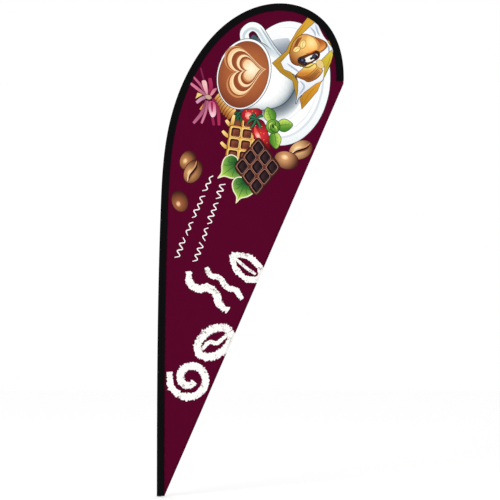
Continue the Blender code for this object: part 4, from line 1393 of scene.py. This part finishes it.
# %% [markdown]
# ## Strap and pocket
# Inside the sleeve a short strap joins the panel to the collar, and a small pocket takes the
# tip of the pole. Both are cut from ribbed webbing. Their shapes follow the frame's own
# pieces, with the hard edges of the cut rounded as they are on real webbing.

# %% Strap and pocket
EDGE_ROUND = 0.00022
WELD = 0.000001
FLAT_ANGLE = 0.02
SHARP_ANGLE = 0.9


def softened_copy(source, name):
    """A new piece with a frame node's shape and rounded edges."""
    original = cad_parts[source]
    made = bmesh.new()
    made.from_mesh(original.data)
    made.transform(original.matrix_world)
    bmesh.ops.remove_doubles(made, verts=made.verts, dist=WELD)
    bmesh.ops.dissolve_limit(made, angle_limit=FLAT_ANGLE, verts=made.verts, edges=made.edges)
    sharp = [edge for edge in made.edges if edge.is_manifold and edge.calc_face_angle() > SHARP_ANGLE]
    bmesh.ops.bevel(made, geom=sharp, offset=EDGE_ROUND, segments=2, affect="EDGES", profile=0.5)
    bmesh.ops.triangulate(made, faces=made.faces)
    mesh = bpy.data.meshes.new(name)
    made.to_mesh(mesh)
    made.free()
    mesh.materials.clear()
    mesh.materials.append(webbing)
    piece = bpy.data.objects.new(name, mesh)
    collection.objects.link(piece)
    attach(piece, "flag")
    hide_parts(source)
    return piece


strap = softened_copy("tension_strap", "collar_strap")
pocket = softened_copy("tip_pocket", "end_pocket")
print("strap and pocket faces", len(strap.data.polygons), len(pocket.data.polygons))

# %% [markdown]
# ## The hem
# The straight edge is folded back once and stitched, so that it can't fray or stretch. The
# fold lies behind the edge and follows the blown cloth.

# %% The hem
HEM_WIDTH = 0.010
HEM_CLOTH = 0.0006
HEM_START = 0.045
HEM_END = 0.012
HEM_GAP = 0.00012
REACH = 0.2
panel_skin = BVHTree.FromPolygons(
    [v.co for v in panel.data.vertices], [f.vertices[:] for f in panel.data.polygons])


HEM_SECTION = ((0.02, 0.0), (0.0, 0.45), (0.02, 1.0), (0.3, 1.12), (0.7, 1.05), (0.98, 0.9), (1.0, 0.4),
               (0.98, 0.0), (0.5, 0.0))


def on_panel(x, z, behind):
    """The point on the finished panel at a flat place, on its front or its back."""
    guess = on_cloth(x, z)
    side = REACH if behind else -REACH
    hit, _, _, _ = panel_skin.ray_cast(Vector((guess.x, side, guess.z)), Vector((0, -side, 0)), 2 * REACH)
    return hit or guess + Vector((0, math.copysign(PANEL_HALF, side), 0))


def hem_strip():
    trail = TIP_CORNER - LOW_CORNER
    length = float(np.hypot(*trail))
    ahead = trail / length
    inwards = np.array([-ahead[1], ahead[0]])
    loops = []
    for run in np.linspace(HEM_START, length - HEM_END, 420):
        edge = LOW_CORNER + ahead * run
        width = HEM_WIDTH * (1 + 0.05 * noise.noise((run * 20.0, 0.0, 0.0)))
        loop = []
        for share, lift in HEM_SECTION:
            x, z = edge + inwards * width * share
            loop.append(on_panel(x, z, True) + Vector((0, HEM_GAP + lift * HEM_CLOTH, 0)))
        loops.append(loop)
    count = len(loops[0])
    faces = grid_faces(len(loops), count, closed=True)
    faces += [tuple(range(count)), tuple(range((len(loops) - 1) * count, len(loops) * count))[::-1]]
    piece = new_piece("edge_hem", [p for loop in loops for p in loop], faces, hem_cloth)
    outward(piece)
    piece.data.shade_smooth()
    return piece, length


hem, trail_length = hem_strip()
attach(hem, "flag")
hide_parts("trailing_hem")

# %% [markdown]
# ## The stitches
# Every seam is a row of short stitches at an even pitch. One Geometry Nodes tree walks a
# line, places a small lozenge of thread at each step and turns it along the line. The same
# tree serves the black double rows on the sleeve and the single row on the hem.

# %% The stitches
def stitch_tree():
    tree = bpy.data.node_groups.new("stitch_row", "GeometryNodeTree")
    for name, kind, value in (
            ("Geometry", "NodeSocketGeometry", None), ("Pitch", FLOAT, 0.0035), ("Length", FLOAT, 0.0026),
            ("Thickness", FLOAT, 0.0007), ("Seed", "NodeSocketInt", 3), ("Material", "NodeSocketMaterial", None)):
        made = tree.interface.new_socket(name, in_out="INPUT", socket_type=kind)
        if value is not None:
            made.default_value = value
    tree.interface.new_socket("Geometry", in_out="OUTPUT", socket_type="NodeSocketGeometry")
    given = tree.nodes.new("NodeGroupInput")
    result = tree.nodes.new("NodeGroupOutput")
    line = node(tree, "GeometryNodeMeshToCurve", [("Mesh", given.outputs["Geometry"])])
    steps = node(tree, "GeometryNodeCurveToPoints", [
        ("Curve", line.outputs["Curve"]), ("Length", given.outputs["Pitch"])], mode="LENGTH")
    thread = node(tree, "GeometryNodeMeshIcoSphere", [("Radius", 0.5), ("Subdivisions", 1)])
    size = node(tree, "ShaderNodeCombineXYZ", [
        ("X", given.outputs["Thickness"]), ("Y", given.outputs["Thickness"]), ("Z", given.outputs["Length"])])
    chance = node(tree, "FunctionNodeRandomValue", data_type="FLOAT")
    inputs = {socket.identifier: socket for socket in chance.inputs}
    inputs["Min_001"].default_value = 0.9
    inputs["Max_001"].default_value = 1.08
    tree.links.new(given.outputs["Seed"], inputs["Seed"])
    drawn = next(socket for socket in chance.outputs if socket.identifier == "Value_001")
    varied = node(tree, "ShaderNodeVectorMath", [(0, size.outputs[0]), ("Scale", drawn)], operation="SCALE")
    placed_threads = node(tree, "GeometryNodeInstanceOnPoints", [
        ("Points", steps.outputs["Points"]), ("Instance", thread.outputs["Mesh"]),
        ("Rotation", steps.outputs["Rotation"]), ("Scale", varied.outputs[0])])
    real = node(tree, "GeometryNodeRealizeInstances", [("Geometry", placed_threads.outputs[0])])
    finished = node(tree, "GeometryNodeSetMaterial", [
        ("Geometry", real.outputs[0]), ("Material", given.outputs["Material"])])
    tree.links.new(finished.outputs[0], result.inputs["Geometry"])
    return tree


STITCH_TREE = stitch_tree()


def stitched(name, rows, material, **sizes):
    """Stitches along rows of points, as one plain mesh."""
    points, edges = [], []
    for row in rows:
        edges += [(len(points) + k, len(points) + k + 1) for k in range(len(row) - 1)]
        points += [tuple(p) for p in row]
    mesh = bpy.data.meshes.new(name)
    mesh.from_pydata(points, edges, [])
    piece = bpy.data.objects.new(name, mesh)
    collection.objects.link(piece)
    modifier = piece.modifiers.new("Stitches", "NODES")
    modifier.node_group = STITCH_TREE
    wanted = {"Material": material, **sizes}
    for item in STITCH_TREE.interface.items_tree:
        if item.in_out == "INPUT" and item.name in wanted:
            modifier[item.identifier] = wanted[item.name]
    applied(piece)
    piece.data.shade_smooth()
    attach(piece, "flag")
    return piece


ROW_POINTS = 900


def sleeve_rows(depths, start, end, proud):
    """Rows at several depths from the lips' edge, on the front and on the back of the web."""
    rows = []
    s = np.linspace(start, end, ROW_POINTS)
    middle, _, inward = along_pole(s)
    for depth in depths:
        flat_row = middle + inward * (lip_reach(s) - depth)[:, None]
        for y in (-LIP - proud, LIP + proud):
            rows.append([(x, y, z) for x, z in flat_row])
    return rows


def hem_row(inset, behind, lift):
    """A line along the straight edge, on the panel's front or on the hem behind it."""
    ahead = (TIP_CORNER - LOW_CORNER) / trail_length
    inwards = np.array([-ahead[1], ahead[0]])
    runs = np.linspace(HEM_START + 0.005, trail_length - HEM_END - 0.004, ROW_POINTS)
    spots = [LOW_CORNER + ahead * run + inwards * inset for run in runs]
    return [on_panel(x, z, behind) + Vector((0, lift, 0)) for x, z in spots]


SLEEVE_ROW_DEPTHS = (0.0012, 0.0034)
HEM_ROW_INSET = 0.0074
THREAD_WIDTH = 0.0008
sleeve_stitches = stitched(
    "sleeve_stitches", sleeve_rows(SLEEVE_ROW_DEPTHS, 0.020, PATH_LENGTH - 0.003, 0.0001),
    black_thread, Pitch=0.0042, Length=0.0034, Thickness=THREAD_WIDTH, Seed=3)
hem_stitches = stitched(
    "hem_stitches",
    [hem_row(HEM_ROW_INSET, False, -0.0001), hem_row(HEM_ROW_INSET, True, HEM_GAP + HEM_CLOTH * 1.1)],
    dark_thread, Pitch=0.0036, Length=0.0029, Thickness=THREAD_WIDTH, Seed=4)
print("stitch faces", len(sleeve_stitches.data.polygons), len(hem_stitches.data.polygons))

# %% [markdown]
# ## The studio
# The flag stands upright on a pale floor in even light, seen square from its front through
# a long lens, which keeps its outline free of perspective.

# %% The studio
FLOOR_GLOW = 0.15
FLOOR_REACH = 9
FLOOR_DROP = -0.001
floor_mesh = bpy.data.meshes.new("floor")
corners = [(x * FLOOR_REACH, y * FLOOR_REACH, FLOOR_DROP) for x, y in ((-1, -1), (1, -1), (1, 1), (-1, 1))]
floor_mesh.from_pydata(corners, [], [(0, 1, 2, 3)])
floor = bpy.data.objects.new("floor", floor_mesh)
scene.collection.objects.link(floor)
pale, _, pale_shader, _ = started("pale_floor", 0.9)
pale_shader.inputs["Base Color"].default_value = (0.985, 0.985, 0.985, 1)
pale_shader.inputs["Emission Color"].default_value = (1, 1, 1, 1)
pale_shader.inputs["Emission Strength"].default_value = FLOOR_GLOW
floor_mesh.materials.append(pale)
floor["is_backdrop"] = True

ROOM_LIGHT = 0.84
world = bpy.data.worlds.new("soft_room")
world.use_nodes = True
room = world.node_tree
room.nodes["Background"].inputs["Color"].default_value = (1.0, 1.0, 1.0, 1.0)
seen = room.nodes.new("ShaderNodeLightPath").outputs["Is Camera Ray"]
strength = maths(room, "ADD", ROOM_LIGHT, maths(room, "MULTIPLY", seen, 1.0 - ROOM_LIGHT))
room.links.new(strength, room.nodes["Background"].inputs["Strength"])
scene.world = world


def soft_light(name, place, target, size, power):
    data = bpy.data.lights.new(name, "AREA")
    data.size = size
    data.energy = power
    lamp = bpy.data.objects.new(name, data)
    scene.collection.objects.link(lamp)
    lamp.location = place
    lamp.rotation_mode = "QUATERNION"
    lamp.rotation_quaternion = (Vector(target) - Vector(place)).to_track_quat("-Z", "Y")


soft_light("key", (-2.6, -4.2, 3.6), (0.4, 0, 1.3), 2.4, 68)
soft_light("fill", (3.4, -3.6, 2.0), (0.4, 0, 1.2), 3.0, 18)

VIEW_WIDTH = 2.4375
VIEW_CENTRE = (0.4425, 1.2017)
CAMERA_AWAY = 12.0
lens = bpy.data.cameras.new("camera")
lens.sensor_width = 36.0
lens.lens = 36.0 * CAMERA_AWAY / VIEW_WIDTH
camera = bpy.data.objects.new("camera", lens)
scene.collection.objects.link(camera)
camera.location = (VIEW_CENTRE[0], -CAMERA_AWAY, VIEW_CENTRE[1])
camera.rotation_euler = (math.pi / 2, 0, 0)
scene.camera = camera

size = {"cad": [list(corner) for corner in cad_box], "visual": [list(corner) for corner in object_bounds()]}
